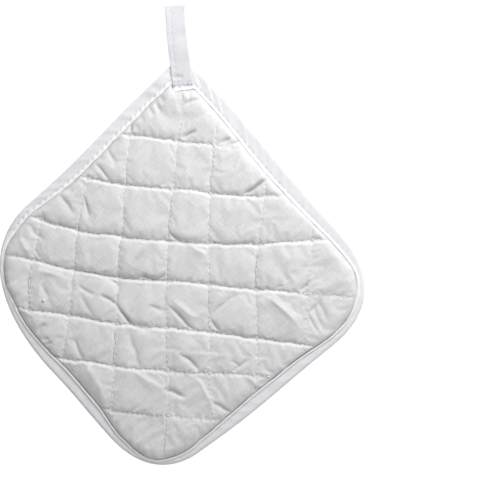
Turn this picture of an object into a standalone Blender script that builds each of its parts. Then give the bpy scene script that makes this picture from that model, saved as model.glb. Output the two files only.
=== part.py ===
"""A quilted pot holder that lies on its back, quilted face up, with its hanging loop beside it.

It has four pieces, as they are cut and sewn: the plain back cloth, the quilted front with its
wadding, the binding folded round their edge, and the loop of tape at the top corner.
Sizes and tables are in millimetres, and MM turns them into Blender's metres.
+X is right and +Y up in the face, towards the loop. +Z comes out of the face.
"""

import math

import bmesh
import bpy
import numpy as np

MM = 0.001

# Cloth and layers, from the surface up.
CLOTH = 1.0
TAPE = 1.2
GAP = 0.3
EDGE_THICKNESS = 5.5
LEAF_UNDER = EDGE_THICKNESS - CLOTH - GAP
BACK_RIM = CLOTH + GAP
PAD_RIM = BACK_RIM + CLOTH + GAP
PAD_BOTTOM = CLOTH + GAP

# The outline: where its straight sides would cross, and how far before and after that point the
# side starts to round. It runs from the loop's corner by the left corner.
CORNERS = (
    # name, x, y, round_before, round_after
    ("top", 0.4, 108.5, 9.0, 9.0),
    ("left", -133.1, -20.5, 54.0, 79.0),
    ("bottom", -16.6, -152.0, 41.0, 36.5),
    ("right", 127.9, -36.5, 47.5, 49.5),
)
# How far each side dips in at its middle, and how far it sways in before and out after that.
SIDES = (
    # name, dip, sway
    ("upper_left", 0.4, -0.7),
    ("lower_left", 0.3, 0.2),
    ("lower_right", -1.1, -0.4),
    ("upper_right", -0.6, 0.7),
)
CORNER_FULLNESS = 0.37
CORNER_STEP = 7.0
SIDE_STEP = 10.0
LEAST_CORNER_STEPS = 6
QUARTER = 0.25
CENTRE = np.array((-2.5, -22.0))

# The binding's upper leaf. A whole station is a corner, and a half is the middle of a side.
UPPER_LEAF = (
    # station, width, lip
    (0.00, 18.0, 0.0),
    (0.26, 9.2, 0.0),
    (0.60, 8.4, 0.0),
    (0.80, 5.6, 0.1),
    (0.93, 2.8, 0.3),
    (1.08, 5.2, 0.7),
    (1.28, 7.5, 0.9),
    (1.60, 7.0, 0.9),
    (1.80, 5.0, 0.9),
    (1.98, 2.5, 0.6),
    (2.15, 4.5, 0.8),
    (2.45, 7.8, 0.9),
    (2.62, 7.1, 0.9),
    (2.78, 4.8, 0.9),
    (3.05, 4.4, 0.6),
    (3.22, 7.6, 0.2),
    (3.50, 10.3, 0.0),
    (3.72, 9.3, 0.0),
    (4.00, 18.0, 0.0),
)
LOWER_LEAF = 9.0
UPPER_ROLL = 5.0
LOWER_ROLL = 2.0
MOST_ROLL_SHARE = 0.8
LIP_WIDTH = 1.2
ROLL_TURNS = (1.0, 0.62, 0.3, 0.0)

# The back cloth's edge lies on the lower leaf, and the cloth comes down to the surface inside it.
BACK_EDGE = 2.0
BACK_STEP_OUT = LOWER_LEAF + 0.5
BACK_STEP_IN = LOWER_LEAF + 3.0
BACK_RINGS = (24.0, 36.0)

# The loop's tape under the top corner raises what lies on it there.
LIFT_CENTRE = (2.0, 98.0)
LIFT_FULL = 15.0
LIFT_END = 31.0

# Quilting. Rows are given by their height in the face at three places across it, and columns by
# their place across it at three heights. The first and last ones lie off the holder.
ROW_PLACES = (-90.0, 0.0, 90.0)
ROWS = (
    # name, y_left, y_middle, y_right, seam_height
    ("beyond_top", 121.0, 113.0, 105.0, 5.0),
    ("under_loop", 94.0, 86.0, 78.0, 5.0),
    ("a", 64.0, 56.0, 47.0, 4.7),
    ("b", 46.0, 26.6, 22.8, 4.2),
    ("c", 10.1, -4.7, -3.0, 4.0),
    ("d", -15.5, -27.9, -37.3, 4.0),
    ("e", -45.2, -57.8, -69.0, 4.6),
    ("f", -72.0, -83.3, -87.0, 4.7),
    ("g", -99.0, -109.8, -116.0, 4.8),
    ("bottom", -126.0, -137.0, -143.0, 5.0),
    ("beyond_bottom", -153.0, -165.0, -170.0, 5.0),
)
COLUMN_PLACES = (60.0, -25.0, -110.0)
COLUMNS = (
    # name, x_top, x_middle, x_bottom
    ("beyond_left", -134.0, -145.0, -150.0),
    ("left", -110.0, -118.0, -122.0),
    ("1", -82.0, -91.0, -93.0),
    ("2", -54.0, -65.0, -72.0),
    ("3", -31.0, -38.0, -43.0),
    ("4", -2.5, -9.6, -10.0),
    ("5", 19.5, 15.7, 18.5),
    ("6", 52.0, 44.5, 45.0),
    ("7", 82.0, 75.7, 71.0),
    ("right", 110.0, 104.0, 100.0),
    ("beyond_right", 140.0, 134.0, 130.0),
)
CELL_STEPS = (0.0, 0.07, 0.21, 0.4, 0.6, 0.79, 0.93)
CROWN = 8.8
CROWN_UNEVEN = 0.5
UNEVEN_PER_ROW = 2.3
UNEVEN_PER_COLUMN = 1.7
ROW_FULLNESS = 2.6
COLUMN_FULLNESS = 2.2
COLUMN_SEAM_SHARE = 0.32
CROSSING_ROUNDS = 6

# The main creases across the cells, as ridges and, where the rise is below nothing, as troughs.
FOLDS = (
    # name, x_start, y_start, x_end, y_end, half_width, rise
    ("deep_left", -40.0, -43.0, -25.0, -57.5, 3.2, -2.6),
    ("long_middle", -10.5, -40.0, 11.0, -59.0, 3.4, -2.2),
    ("beside_middle", -6.0, -36.5, 15.0, -54.0, 3.4, 1.3),
    ("low_sweep", -33.0, -81.0, 6.0, -98.5, 3.6, 1.6),
    ("low_right", 8.0, -81.0, 18.0, -114.0, 3.4, 1.5),
    ("right_sweep", 42.0, -35.0, 74.0, -61.5, 3.6, 1.8),
    ("left_low", -30.5, -56.0, -25.0, -82.5, 3.2, 1.4),
    ("centre_low", -1.5, -64.5, 10.0, -82.0, 3.2, -1.8),
    ("upper_right", 33.0, 22.0, 53.0, 36.5, 3.2, -2.2),
    ("left_middle", -51.5, -33.0, -37.0, -45.0, 3.2, 1.3),
    ("middle_high", -30.0, -14.5, -16.0, -4.0, 3.2, 1.2),
)

# The rim of the pad: clear of the back cloth's step by PAD_STEP_CLEARS, pressed flat under the
# binding, whose roll it follows at two places, then rising steeply to the first cells.
PAD_STEP_CLEARS = 0.5
PAD_EDGE = 1.7
PAD_EDGE_TOP = PAD_RIM + 0.4
PAD_ROLL = (
    # share_of_roll, least_depth, under_the_leaf
    (0.6, PAD_EDGE + 0.1, 0.35),
    (1.0, PAD_EDGE + 0.3, 0.05),
)
PAD_RISE = (
    # past_the_leaf, height
    (0.9, LEAF_UNDER),
    (1.4, 5.4),
    (3.0, 7.2),
    (6.0, 9.0),
    (9.0, 13.0),
)
BELOW_PAD = -2.0

# The loop's tape, by the middle of its width, from its back end by the fold to its front end.
# Its turn is that of its width from +X, in degrees.
LOOP_WIDTH = 12.0
FOLD_RADIUS = 3.0
FOLD_STEPS = 8
LEG_STEPS = 3
BACK_LEG = (
    # x, y, z, turn
    (5.2, 89.5, 0.6, 20.0),
    (1.8, 98.0, 0.6, 18.0),
    (-1.6, 107.0, 0.6, 12.0),
    (-4.2, 120.0, 0.6, 4.0),
    (-5.4, 134.4, 0.6, 1.0),
)
FRONT_LEG = (
    # x, y, z, turn
    (-4.6, 134.4, 6.6, 1.0),
    (-3.9, 123.9, 7.4, 4.0),
    (-2.9, 113.1, 7.9, 6.0),
    (-1.3, 102.3, 7.9, 7.0),
    (0.1, 90.3, 7.9, 4.0),
)

SMOOTH_BELOW = 50.0

# Finishes: linear colour and roughness.
FINISHES = {
    "quilted_front": ((0.80, 0.80, 0.79), 0.92),
    "back_cloth": ((0.78, 0.78, 0.75), 0.92),
    "edge_binding": ((0.84, 0.84, 0.88), 0.85),
    "hanging_loop": ((0.85, 0.85, 0.89), 0.85),
}


def unit(vectors):
    """The vectors with a length of one."""
    return vectors / np.linalg.norm(vectors, axis=-1, keepdims=True)


def outline():
    """The stations and the points of the outline, counterclockwise from before the top corner."""
    corners = np.array([row[1:3] for row in CORNERS])
    stations, points = [], []
    for index, (_, _, _, before, after) in enumerate(CORNERS):
        here = corners[index]
        following = (index + 1) % len(CORNERS)
        back = unit(corners[index - 1] - here)
        ahead = unit(corners[following] - here)
        round_in, round_out = here + back * before, here + ahead * after
        steps = max(LEAST_CORNER_STEPS, round((before + after) / CORNER_STEP))
        t = np.arange(steps)[:, None] / steps
        handles = here + back * before * CORNER_FULLNESS, here + ahead * after * CORNER_FULLNESS
        points.append(
            (1 - t) ** 3 * round_in
            + 3 * (1 - t) ** 2 * t * handles[0]
            + 3 * (1 - t) * t**2 * handles[1]
            + t**3 * round_out
        )
        stations.append(index - QUARTER + 2 * QUARTER * t[:, 0])

        side_end = corners[following] - ahead * CORNERS[following][3]
        length = np.linalg.norm(side_end - round_out)
        steps = round(length / SIDE_STEP)
        t = np.arange(steps)[:, None] / steps
        _, dip, sway = SIDES[index]
        way_in = np.array((-ahead[1], ahead[0]))
        bend = dip * np.sin(math.pi * t) + sway * np.sin(2 * math.pi * t)
        points.append(round_out + (side_end - round_out) * t + way_in * bend)
        stations.append(index + QUARTER + 2 * QUARTER * t[:, 0])
    return np.concatenate(stations), np.concatenate(points)


class Rim:
    """The outline's points, and the way in from each of them towards the middle of the face."""

    def __init__(self):
        stations, self.points = outline()
        self.way_in = unit(CENTRE - self.points)
        along = unit(np.roll(self.points, -1, axis=0) - np.roll(self.points, 1, axis=0))
        square_in = np.column_stack((-along[:, 1], along[:, 0]))
        self.slant = (self.way_in * square_in).sum(axis=1)
        leaf = np.array(UPPER_LEAF)
        places = stations % len(CORNERS)
        self.leaf_width = self.between(places, leaf[:, 0], leaf[:, 1])
        self.lip = self.between(places, leaf[:, 0], leaf[:, 2])

    @staticmethod
    def between(places, stations, values):
        """A column of a table at these places, eased from each of its rows to the next."""
        row = np.clip(np.searchsorted(stations, places, side="right") - 1, 0, len(stations) - 2)
        t = (places - stations[row]) / (stations[row + 1] - stations[row])
        return values[row] + (values[row + 1] - values[row]) * t * t * (3 - 2 * t)

    def ring(self, depth, height):
        """A ring this far in from the outline, square to it, at this height over the lift."""
        flat = self.points + self.way_in * (depth / self.slant)[:, None]
        return np.column_stack((flat, height + corner_lift(flat[:, 0], flat[:, 1])))

    def even_ring(self, depth, height):
        """A ring that is the same distance in all round."""
        return self.ring(np.full(len(self.points), depth), height)


def corner_lift(x, y):
    """How far the tape under the top corner raises what lies on it at these places."""
    away = np.hypot(x - LIFT_CENTRE[0], y - LIFT_CENTRE[1])
    share = np.clip((LIFT_END - away) / (LIFT_END - LIFT_FULL), 0, 1)
    return (TAPE + GAP) * share**2 * (3 - 2 * share)


def loft(rings, closed=True):
    """A mesh in progress: a band of faces between each ring, or line, of points and the next."""
    shape = bmesh.new()
    lines = [[shape.verts.new(point * MM) for point in ring] for ring in rings]
    for this, other in zip(lines, lines[1:]):
        ends = list(zip(this, other))
        for (a, d), (b, c) in zip(ends, ends[1:] + ends[:1] if closed else ends[1:]):
            shape.faces.new((a, b, c, d))
    return shape, lines


def add_object(name, shape, collection):
    """An object of this name that holds the mesh in progress, shaded smooth."""
    mesh = bpy.data.meshes.new(name)
    shape.to_mesh(mesh)
    shape.free()
    mesh.shade_smooth()
    mesh.set_sharp_from_angle(angle=math.radians(SMOOTH_BELOW))
    part = bpy.data.objects.new(name, mesh)
    collection.objects.link(part)
    return part


def add_thickness(part, thickness, offset):
    """Give an open sheet its thickness: offset 1 is the side its faces look to, 0 both sides."""
    sheet = part.modifiers.new("thickness", "SOLIDIFY")
    sheet.thickness = thickness * MM
    sheet.offset = offset
    sheet.use_even_offset = True


def add_finish(part):
    """The part's own matt cloth material."""
    colour, roughness = FINISHES[part.name]
    finish = bpy.data.materials.new(f"{part.name}_cloth")
    finish.use_nodes = True
    shader = finish.node_tree.nodes["Principled BSDF"]
    shader.inputs["Base Color"].default_value = (*colour, 1.0)
    shader.inputs["Roughness"].default_value = roughness
    shader.inputs["Metallic"].default_value = 0.0
    part.data.materials.append(finish)


def make_back_cloth(rim, collection):
    """The plain back: flat on the surface, its edge lifted on to the binding's lower leaf."""
    rings = [
        rim.even_ring(BACK_EDGE, BACK_RIM),
        rim.even_ring(BACK_STEP_OUT, BACK_RIM),
        rim.even_ring(BACK_STEP_IN, 0.0),
        *(rim.even_ring(depth, 0.0) for depth in BACK_RINGS),
    ]
    shape, lines = loft(rings)
    shape.faces.new(lines[-1])
    part = add_object("back_cloth", shape, collection)
    add_thickness(part, CLOTH, 1)
    return part


def make_edge_binding(rim, collection):
    """The binding: from its upper leaf's inner edge, over the rolled edge, to the lower leaf."""
    half = EDGE_THICKNESS / 2
    roll = np.minimum(UPPER_ROLL, MOST_ROLL_SHARE * rim.leaf_width)
    lip_foot = np.maximum(rim.leaf_width - LIP_WIDTH, (roll + rim.leaf_width) / 2)
    rings = [
        rim.ring(rim.leaf_width, EDGE_THICKNESS + rim.lip),
        rim.ring(lip_foot, EDGE_THICKNESS),
    ]
    for turn in ROLL_TURNS:
        depth = roll * (1 - math.cos(turn * math.pi / 2))
        rings.append(rim.ring(depth, half + half * math.sin(turn * math.pi / 2)))
    for turn in reversed(ROLL_TURNS[:-1]):
        depth = LOWER_ROLL * (1 - math.cos(turn * math.pi / 2))
        rings.append(rim.even_ring(depth, half - half * math.sin(turn * math.pi / 2)))
    rings.append(rim.even_ring(LOWER_LEAF, 0.0))
    shape, _ = loft(rings)
    part = add_object("edge_binding", shape, collection)
    add_thickness(part, CLOTH, 1)
    return part


def across(table, line, place, places):
    """Where a seam of the table, by whole and part number, lies at this place along it."""
    low = np.clip(line.astype(int), 0, len(table) - 2)
    seams = np.array([row[1:4] for row in table])
    share = (line - low)[:, None]
    first, middle, last = (seams[low] * (1 - share) + seams[low + 1] * share).T
    t = (place - places[1]) / (places[2] - places[1])
    return middle + (last - first) / 2 * t + ((last + first) / 2 - middle) * t**2


def cell_part(line):
    """How far across its cell this line lies, from one seam at 0 to the next at 1."""
    return line - np.floor(line)


def face_height(row, column, x, y):
    """The height of the quilted face: puffed cells between sewn seams, and the creases."""
    low = np.clip(row.astype(int), 0, len(ROWS) - 2)
    seams = np.array([entry[4] for entry in ROWS])
    share = cell_part(row)
    seam = seams[low] * (1 - share) + seams[low + 1] * share
    row_puff = 1 - np.abs(2 * share - 1) ** ROW_FULLNESS
    column_puff = 1 - np.abs(2 * cell_part(column) - 1) ** COLUMN_FULLNESS
    puff = row_puff * (COLUMN_SEAM_SHARE + (1 - COLUMN_SEAM_SHARE) * column_puff)
    phase = UNEVEN_PER_ROW * np.floor(row) + UNEVEN_PER_COLUMN * np.floor(column)
    crown = CROWN + CROWN_UNEVEN * np.sin(phase)
    height = seam + (crown - seam) * puff
    for _, x_start, y_start, x_end, y_end, half_width, rise in FOLDS:
        start = np.array((x_start, y_start))
        run = np.array((x_end, y_end)) - start
        length = np.linalg.norm(run)
        along = ((x - x_start) * run[0] + (y - y_start) * run[1]) / length**2
        aside = ((x - x_start) * run[1] - (y - y_start) * run[0]) / length
        inside = (along > 0) & (along < 1)
        taper = np.where(inside, np.sin(math.pi * along), 0)
        height += rise * taper * np.exp(-((aside / half_width) ** 2))
    return height


def make_quilted_front(rim, collection, cutters):
    """The quilted pad: a seamed face over a flat underside, inside a form of its pressed rim."""
    shape = bmesh.new()
    steps = len(CELL_STEPS)
    counts = (len(COLUMNS) - 1) * steps, (len(ROWS) - 1) * steps
    bmesh.ops.create_grid(shape, x_segments=counts[0], y_segments=counts[1], size=0.5)
    grid = np.array([vert.co[:2] for vert in shape.verts]) + 0.5
    number = np.rint(grid * counts).astype(int)
    lines = number // steps + np.array(CELL_STEPS)[number % steps]
    column, row = lines[:, 0], (len(ROWS) - 1) - lines[:, 1]
    x = across(COLUMNS, column, np.full(len(row), COLUMN_PLACES[1]), COLUMN_PLACES)
    y = across(ROWS, row, x, ROW_PLACES)
    for _ in range(CROSSING_ROUNDS):
        x = across(COLUMNS, column, y, COLUMN_PLACES)
        y = across(ROWS, row, x, ROW_PLACES)
    height = face_height(row, column, x, y) + corner_lift(x, y)
    for vert, place in zip(shape.verts, np.column_stack((x, y, height)) * MM):
        vert.co = place
    edge = [one for one in shape.edges if one.is_boundary]
    skirt = bmesh.ops.extrude_edge_only(shape, edges=edge)["geom"]
    for vert in (item for item in skirt if isinstance(item, bmesh.types.BMVert)):
        vert.co.z = BELOW_PAD * MM
    open_edge = [one for one in shape.edges if one.is_boundary]
    bmesh.ops.holes_fill(shape, edges=open_edge, sides=0)
    bmesh.ops.recalc_face_normals(shape, faces=shape.faces)
    part = add_object("quilted_front", shape, collection)

    trim = part.modifiers.new("trim_to_rim", "BOOLEAN")
    trim.operation = "INTERSECT"
    trim.solver = "EXACT"
    trim.object = make_rim_form(rim, cutters)
    return part


def make_rim_form(rim, cutters):
    """The room that the back cloth and the binding leave for the pad, closed above the face."""
    roll = np.minimum(UPPER_ROLL, MOST_ROLL_SHARE * rim.leaf_width)
    rings = [
        rim.even_ring(BACK_STEP_IN + PAD_STEP_CLEARS, PAD_BOTTOM),
        rim.even_ring(BACK_STEP_OUT + PAD_STEP_CLEARS, PAD_RIM),
        rim.even_ring(PAD_EDGE, PAD_RIM),
        rim.even_ring(PAD_EDGE, PAD_EDGE_TOP),
        *(
            rim.ring(np.maximum(share * roll, least), LEAF_UNDER - under)
            for share, least, under in PAD_ROLL
        ),
        *(rim.ring(rim.leaf_width + past, height) for past, height in PAD_RISE),
    ]
    shape, lines = loft(rings)
    shape.faces.new(lines[0])
    shape.faces.new(lines[-1])
    bmesh.ops.recalc_face_normals(shape, faces=shape.faces)
    form = add_object("rim_form", shape, cutters)
    form.hide_render = True
    form.display_type = "WIRE"
    return form


def smooth_leg(rows):
    """Points on a smooth curve through the rows of a leg's table, LEG_STEPS to each stretch."""
    rows = np.array(rows)
    padded = np.vstack((2 * rows[0] - rows[1], rows, 2 * rows[-1] - rows[-2]))
    points = []
    for before, start, end, after in zip(padded, padded[1:], padded[2:], padded[3:]):
        for t in np.arange(LEG_STEPS) / LEG_STEPS:
            points.append(
                start
                + (end - before) / 2 * t
                + (2 * before - 5 * start + 4 * end - after) / 2 * t**2
                + (3 * start - before - 3 * end + after) / 2 * t**3
            )
    return [*points, rows[-1]]


def make_hanging_loop(collection):
    """The loop: one tape from under the corner, folded over at the top, to its front end."""
    back, front = np.array(BACK_LEG[-1]), np.array(FRONT_LEG[0])
    fold = []
    for step in range(1, FOLD_STEPS):
        angle = math.pi * step / FOLD_STEPS
        share = (1 - math.cos(angle)) / 2
        place = back + (front - back) * share
        place[1] += FOLD_RADIUS * math.sin(angle)
        fold.append(place)
    path = np.array([*smooth_leg(BACK_LEG), *fold, *smooth_leg(FRONT_LEG)])
    turn = np.radians(path[:, 3])
    width = np.column_stack((np.cos(turn), np.sin(turn), np.zeros(len(turn)))) * LOOP_WIDTH / 2
    sides = [path[:, :3] + width * share for share in (-1, 0, 1)]
    shape, _ = loft(sides, closed=False)
    part = add_object("hanging_loop", shape, collection)
    add_thickness(part, TAPE, 0)
    return part


def new_collection(name):
    """A collection of this name in the scene."""
    collection = bpy.data.collections.new(name)
    bpy.context.scene.collection.children.link(collection)
    return collection


def main():
    for thing in list(bpy.data.objects):
        bpy.data.objects.remove(thing, do_unlink=True)
    holder = new_collection("pot_holder")
    cutters = new_collection("cutters")
    rim = Rim()
    parts = (
        make_back_cloth(rim, holder),
        make_edge_binding(rim, holder),
        make_quilted_front(rim, holder, cutters),
        make_hanging_loop(holder),
    )
    for part in parts:
        add_finish(part)


main()
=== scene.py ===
"""Looks of a quilted pot holder that lies on its back, its quilted face up.

The frame gives the plain solids. This script dresses them as cloth: the quilted face with its
sewing and creases, the back cloth, the bound edge and the hanging loop, each with its own weave.
Sizes and tables are in millimetres, and MM turns them into the frame's metres. +X is right and
+Y up in the quilted face, towards the loop, and +Z comes out of it.
"""

import logging
import math
from collections.abc import Iterable
from dataclasses import dataclass, field
from enum import Enum

import bmesh
import bpy
import numpy as np
from mathutils import Matrix, Vector
from mathutils.bvhtree import BVHTree


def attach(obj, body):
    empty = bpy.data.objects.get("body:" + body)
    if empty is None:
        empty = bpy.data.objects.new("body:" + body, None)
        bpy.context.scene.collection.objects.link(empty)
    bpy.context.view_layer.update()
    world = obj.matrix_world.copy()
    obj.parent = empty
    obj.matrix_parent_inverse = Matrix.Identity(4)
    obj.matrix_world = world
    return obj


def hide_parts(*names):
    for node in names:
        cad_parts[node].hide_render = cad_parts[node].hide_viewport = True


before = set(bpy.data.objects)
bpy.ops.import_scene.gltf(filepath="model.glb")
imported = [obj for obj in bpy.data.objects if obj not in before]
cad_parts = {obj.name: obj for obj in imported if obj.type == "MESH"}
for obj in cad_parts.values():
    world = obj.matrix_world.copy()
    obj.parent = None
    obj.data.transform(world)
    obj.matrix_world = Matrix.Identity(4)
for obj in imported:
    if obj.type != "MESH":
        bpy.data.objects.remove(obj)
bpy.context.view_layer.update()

LOG = logging.getLogger("pot_holder")
MM = 0.001
BODY = "root"

# Layers, from the surface up.
CLOTH = 1.0
TAPE = 1.2
GAP = 0.3
EDGE_THICKNESS = 5.5
BACK_RIM = CLOTH + GAP
PAD_RIM = BACK_RIM + CLOTH + GAP
PAD_BOTTOM = CLOTH + GAP
LOWER_LEAF = 9.0

# The place in the face that the outline's depths are measured towards, and how many stations a
# corner takes up on each side of its own.
CENTRE = np.array((-2.5, -22.0))
QUARTER = 0.25


class Coordinates(Enum):
    """What a weave is laid out by."""

    FACE = "the place in the face"
    TAPE = "the place along and across a tape"


@dataclass(frozen=True)
class Corner:
    """A corner of the outline: where its sides would cross, and how far each side of it rounds."""

    x: float
    y: float
    round_before: float
    round_after: float


@dataclass(frozen=True)
class Side:
    """How a side of the outline dips in at its middle and sways before and after it."""

    dip: float
    sway: float


@dataclass(frozen=True)
class Leaf:
    """The binding's upper leaf at a station. Whole stations are corners, halves mid-sides."""

    station: float
    width: float
    lip: float


@dataclass(frozen=True)
class Seam:
    """A sewn line of the quilting: its place and its tightness at seven even stations."""

    name: str
    places: tuple[float, ...]
    tightness: tuple[float, ...]


@dataclass(frozen=True)
class Crease:
    """A crease along a few points: a trough of this depth, or a ridge where it is negative.

    Its flank to the left of its way is wider than the other one where its lean is over 0.
    """

    name: str
    points: tuple[tuple[float, float], ...]
    width: float
    depth: float
    lean: float = 0.0


@dataclass(frozen=True)
class Drag:
    """A patch of fine even pull lines in the cloth: its middle, its reach and the lines' turn."""

    name: str
    x: float
    y: float
    reach: float
    turn: float
    pitch: float
    depth: float


@dataclass(frozen=True)
class LoopStation:
    """The middle of the loop's tape at a place on its way, and how far its width turns."""

    x: float
    y: float
    z: float
    turn: float


@dataclass(frozen=True)
class Light:
    """A soft square light: its place and size in metres, and its power in watts."""

    name: str
    place: tuple[float, float, float]
    size: float
    power: float


# The outline, from the loop's corner by the left corner.
CORNERS = (
    Corner(0.4, 108.5, 9.0, 9.0),
    Corner(-133.1, -20.5, 54.0, 79.0),
    Corner(-16.6, -152.0, 41.0, 36.5),
    Corner(127.9, -36.5, 47.5, 49.5),
)
SIDES = (Side(0.4, -0.7), Side(0.3, 0.2), Side(-1.1, -0.4), Side(-0.6, 0.7))
CORNER_FULLNESS = 0.37

UPPER_LEAF = (
    Leaf(0.00, 9.0, 0.0),
    Leaf(0.26, 8.4, 0.0),
    Leaf(0.60, 8.4, 0.0),
    Leaf(0.80, 5.4, 0.0),
    Leaf(0.93, 2.4, 0.0),
    Leaf(1.00, 2.1, 0.0),
    Leaf(1.09, 4.0, 0.7),
    Leaf(1.28, 7.2, 0.9),
    Leaf(1.60, 7.0, 0.9),
    Leaf(1.80, 5.0, 0.9),
    Leaf(1.98, 2.5, 0.6),
    Leaf(2.15, 4.5, 0.8),
    Leaf(2.45, 7.8, 0.9),
    Leaf(2.62, 7.1, 0.9),
    Leaf(2.78, 4.8, 0.9),
    Leaf(3.05, 4.4, 0.6),
    Leaf(3.22, 7.6, 0.2),
    Leaf(3.50, 10.3, 0.0),
    Leaf(3.72, 9.3, 0.0),
    Leaf(4.00, 9.0, 0.0),
)

# The height that the binding leaves free for the pad, by the distance in from the upper leaf.
CEILING = (
    # past_leaf, height
    (-3.0, 4.1),
    (0.1, 4.2),
    (0.6, 4.9),
    (1.4, 6.7),
    (3.0, 7.9),
    (6.0, 9.2),
    (12.0, 11.5),
    (40.0, 16.0),
)

# How tight a line of the quilting's grid is at its seven stations: fully at all, or not at any.
EVEN = (1,) * 7
SLACK = (0,) * 7

# The quilting's rows, by their height in the face at ROW_STATIONS across it, and its columns, by
# their place across it at COLUMN_STATIONS down it. The first and last ones lie off the holder.
ROW_STATIONS = (-105.0, -70.0, -35.0, 0.0, 35.0, 70.0, 105.0)
ROWS = (
    Seam("beyond_top", (131, 127, 121, 115, 110, 104, 98), EVEN),
    Seam("under_loop", (104, 100, 96, 92, 88, 82, 78), EVEN),
    Seam("a", (68, 64, 60, 55.4, 52, 47.5, 44), (0.4, 0.5, 0.8, 0.7, 0.3, 0.4, 0.4)),
    Seam("b", (38, 35.5, 30.2, 27.0, 23.0, 24.6, 28), (0.3, 0.3, 1.1, 0.8, 0.9, 0.3, 0.3)),
    Seam("c", (15, 4.4, -1.3, -4.4, -5.8, -4.2, -2.5), (0.5, 1.1, 1.5, 0.8, 1.1, 0.8, 0.4)),
    Seam("d", (-12, -20.0, -26.2, -28.2, -31.8, -34.8, -38), (0.5, 1.5, 1.3, 0.9, 1.1, 0.5, 0.4)),
    Seam("e", (-43.4, -47.9, -53.7, -56.8, -61.1, -66.0, -71), (0.6, 0.8, 0.8, 0.8, 0.9, 0.7, 0.7)),
    Seam("f", (-71, -74.3, -79.6, -82.3, -83.6, -87, -91), (0.6, 1.2, 0.6, 0.5, 0.5, 0.5, 0.5)),
    Seam("g", (-96, -98.5, -106.3, -109.4, -112.5, -117, -121), (0.5, 0.7, 0.5, 0.35, 0.4, 0.3, 0.3)),
    Seam("below", (-132, -135, -142, -146, -148, -151, -154), SLACK),
)
COLUMN_STATIONS = (80.0, 45.0, 10.0, -25.0, -60.0, -95.0, -130.0)
COLUMNS = (
    Seam("beyond_left", (-128, -130, -134, -138, -141, -144, -146), SLACK),
    Seam("1", (-78, -80, -84.6, -91, -91.5, -95, -98), EVEN),
    Seam("2", (-50, -54.5, -61.8, -65.2, -69.8, -73, -75), EVEN),
    Seam("3", (-29, -33.3, -35.8, -38.5, -39.8, -42, -44), EVEN),
    Seam("4", (0.2, -4.3, -7.4, -9.8, -9.6, -8.3, -10), EVEN),
    Seam("5", (21.5, 18.5, 15.8, 15.7, 16.3, 16.7, 22), EVEN),
    Seam("6", (54, 51.5, 47.2, 44.5, 44.3, 45, 47), EVEN),
    Seam("7", (86, 83, 79, 76, 73, 71, 70), EVEN),
    Seam("beyond_right", (124, 122, 120, 118, 116, 114, 112), SLACK),
)
# The lines of the grid that carry no stitches: off the holder, or under the loop.
UNSEWN = {"beyond_top", "under_loop", "below", "beyond_left", "beyond_right"}

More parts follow.
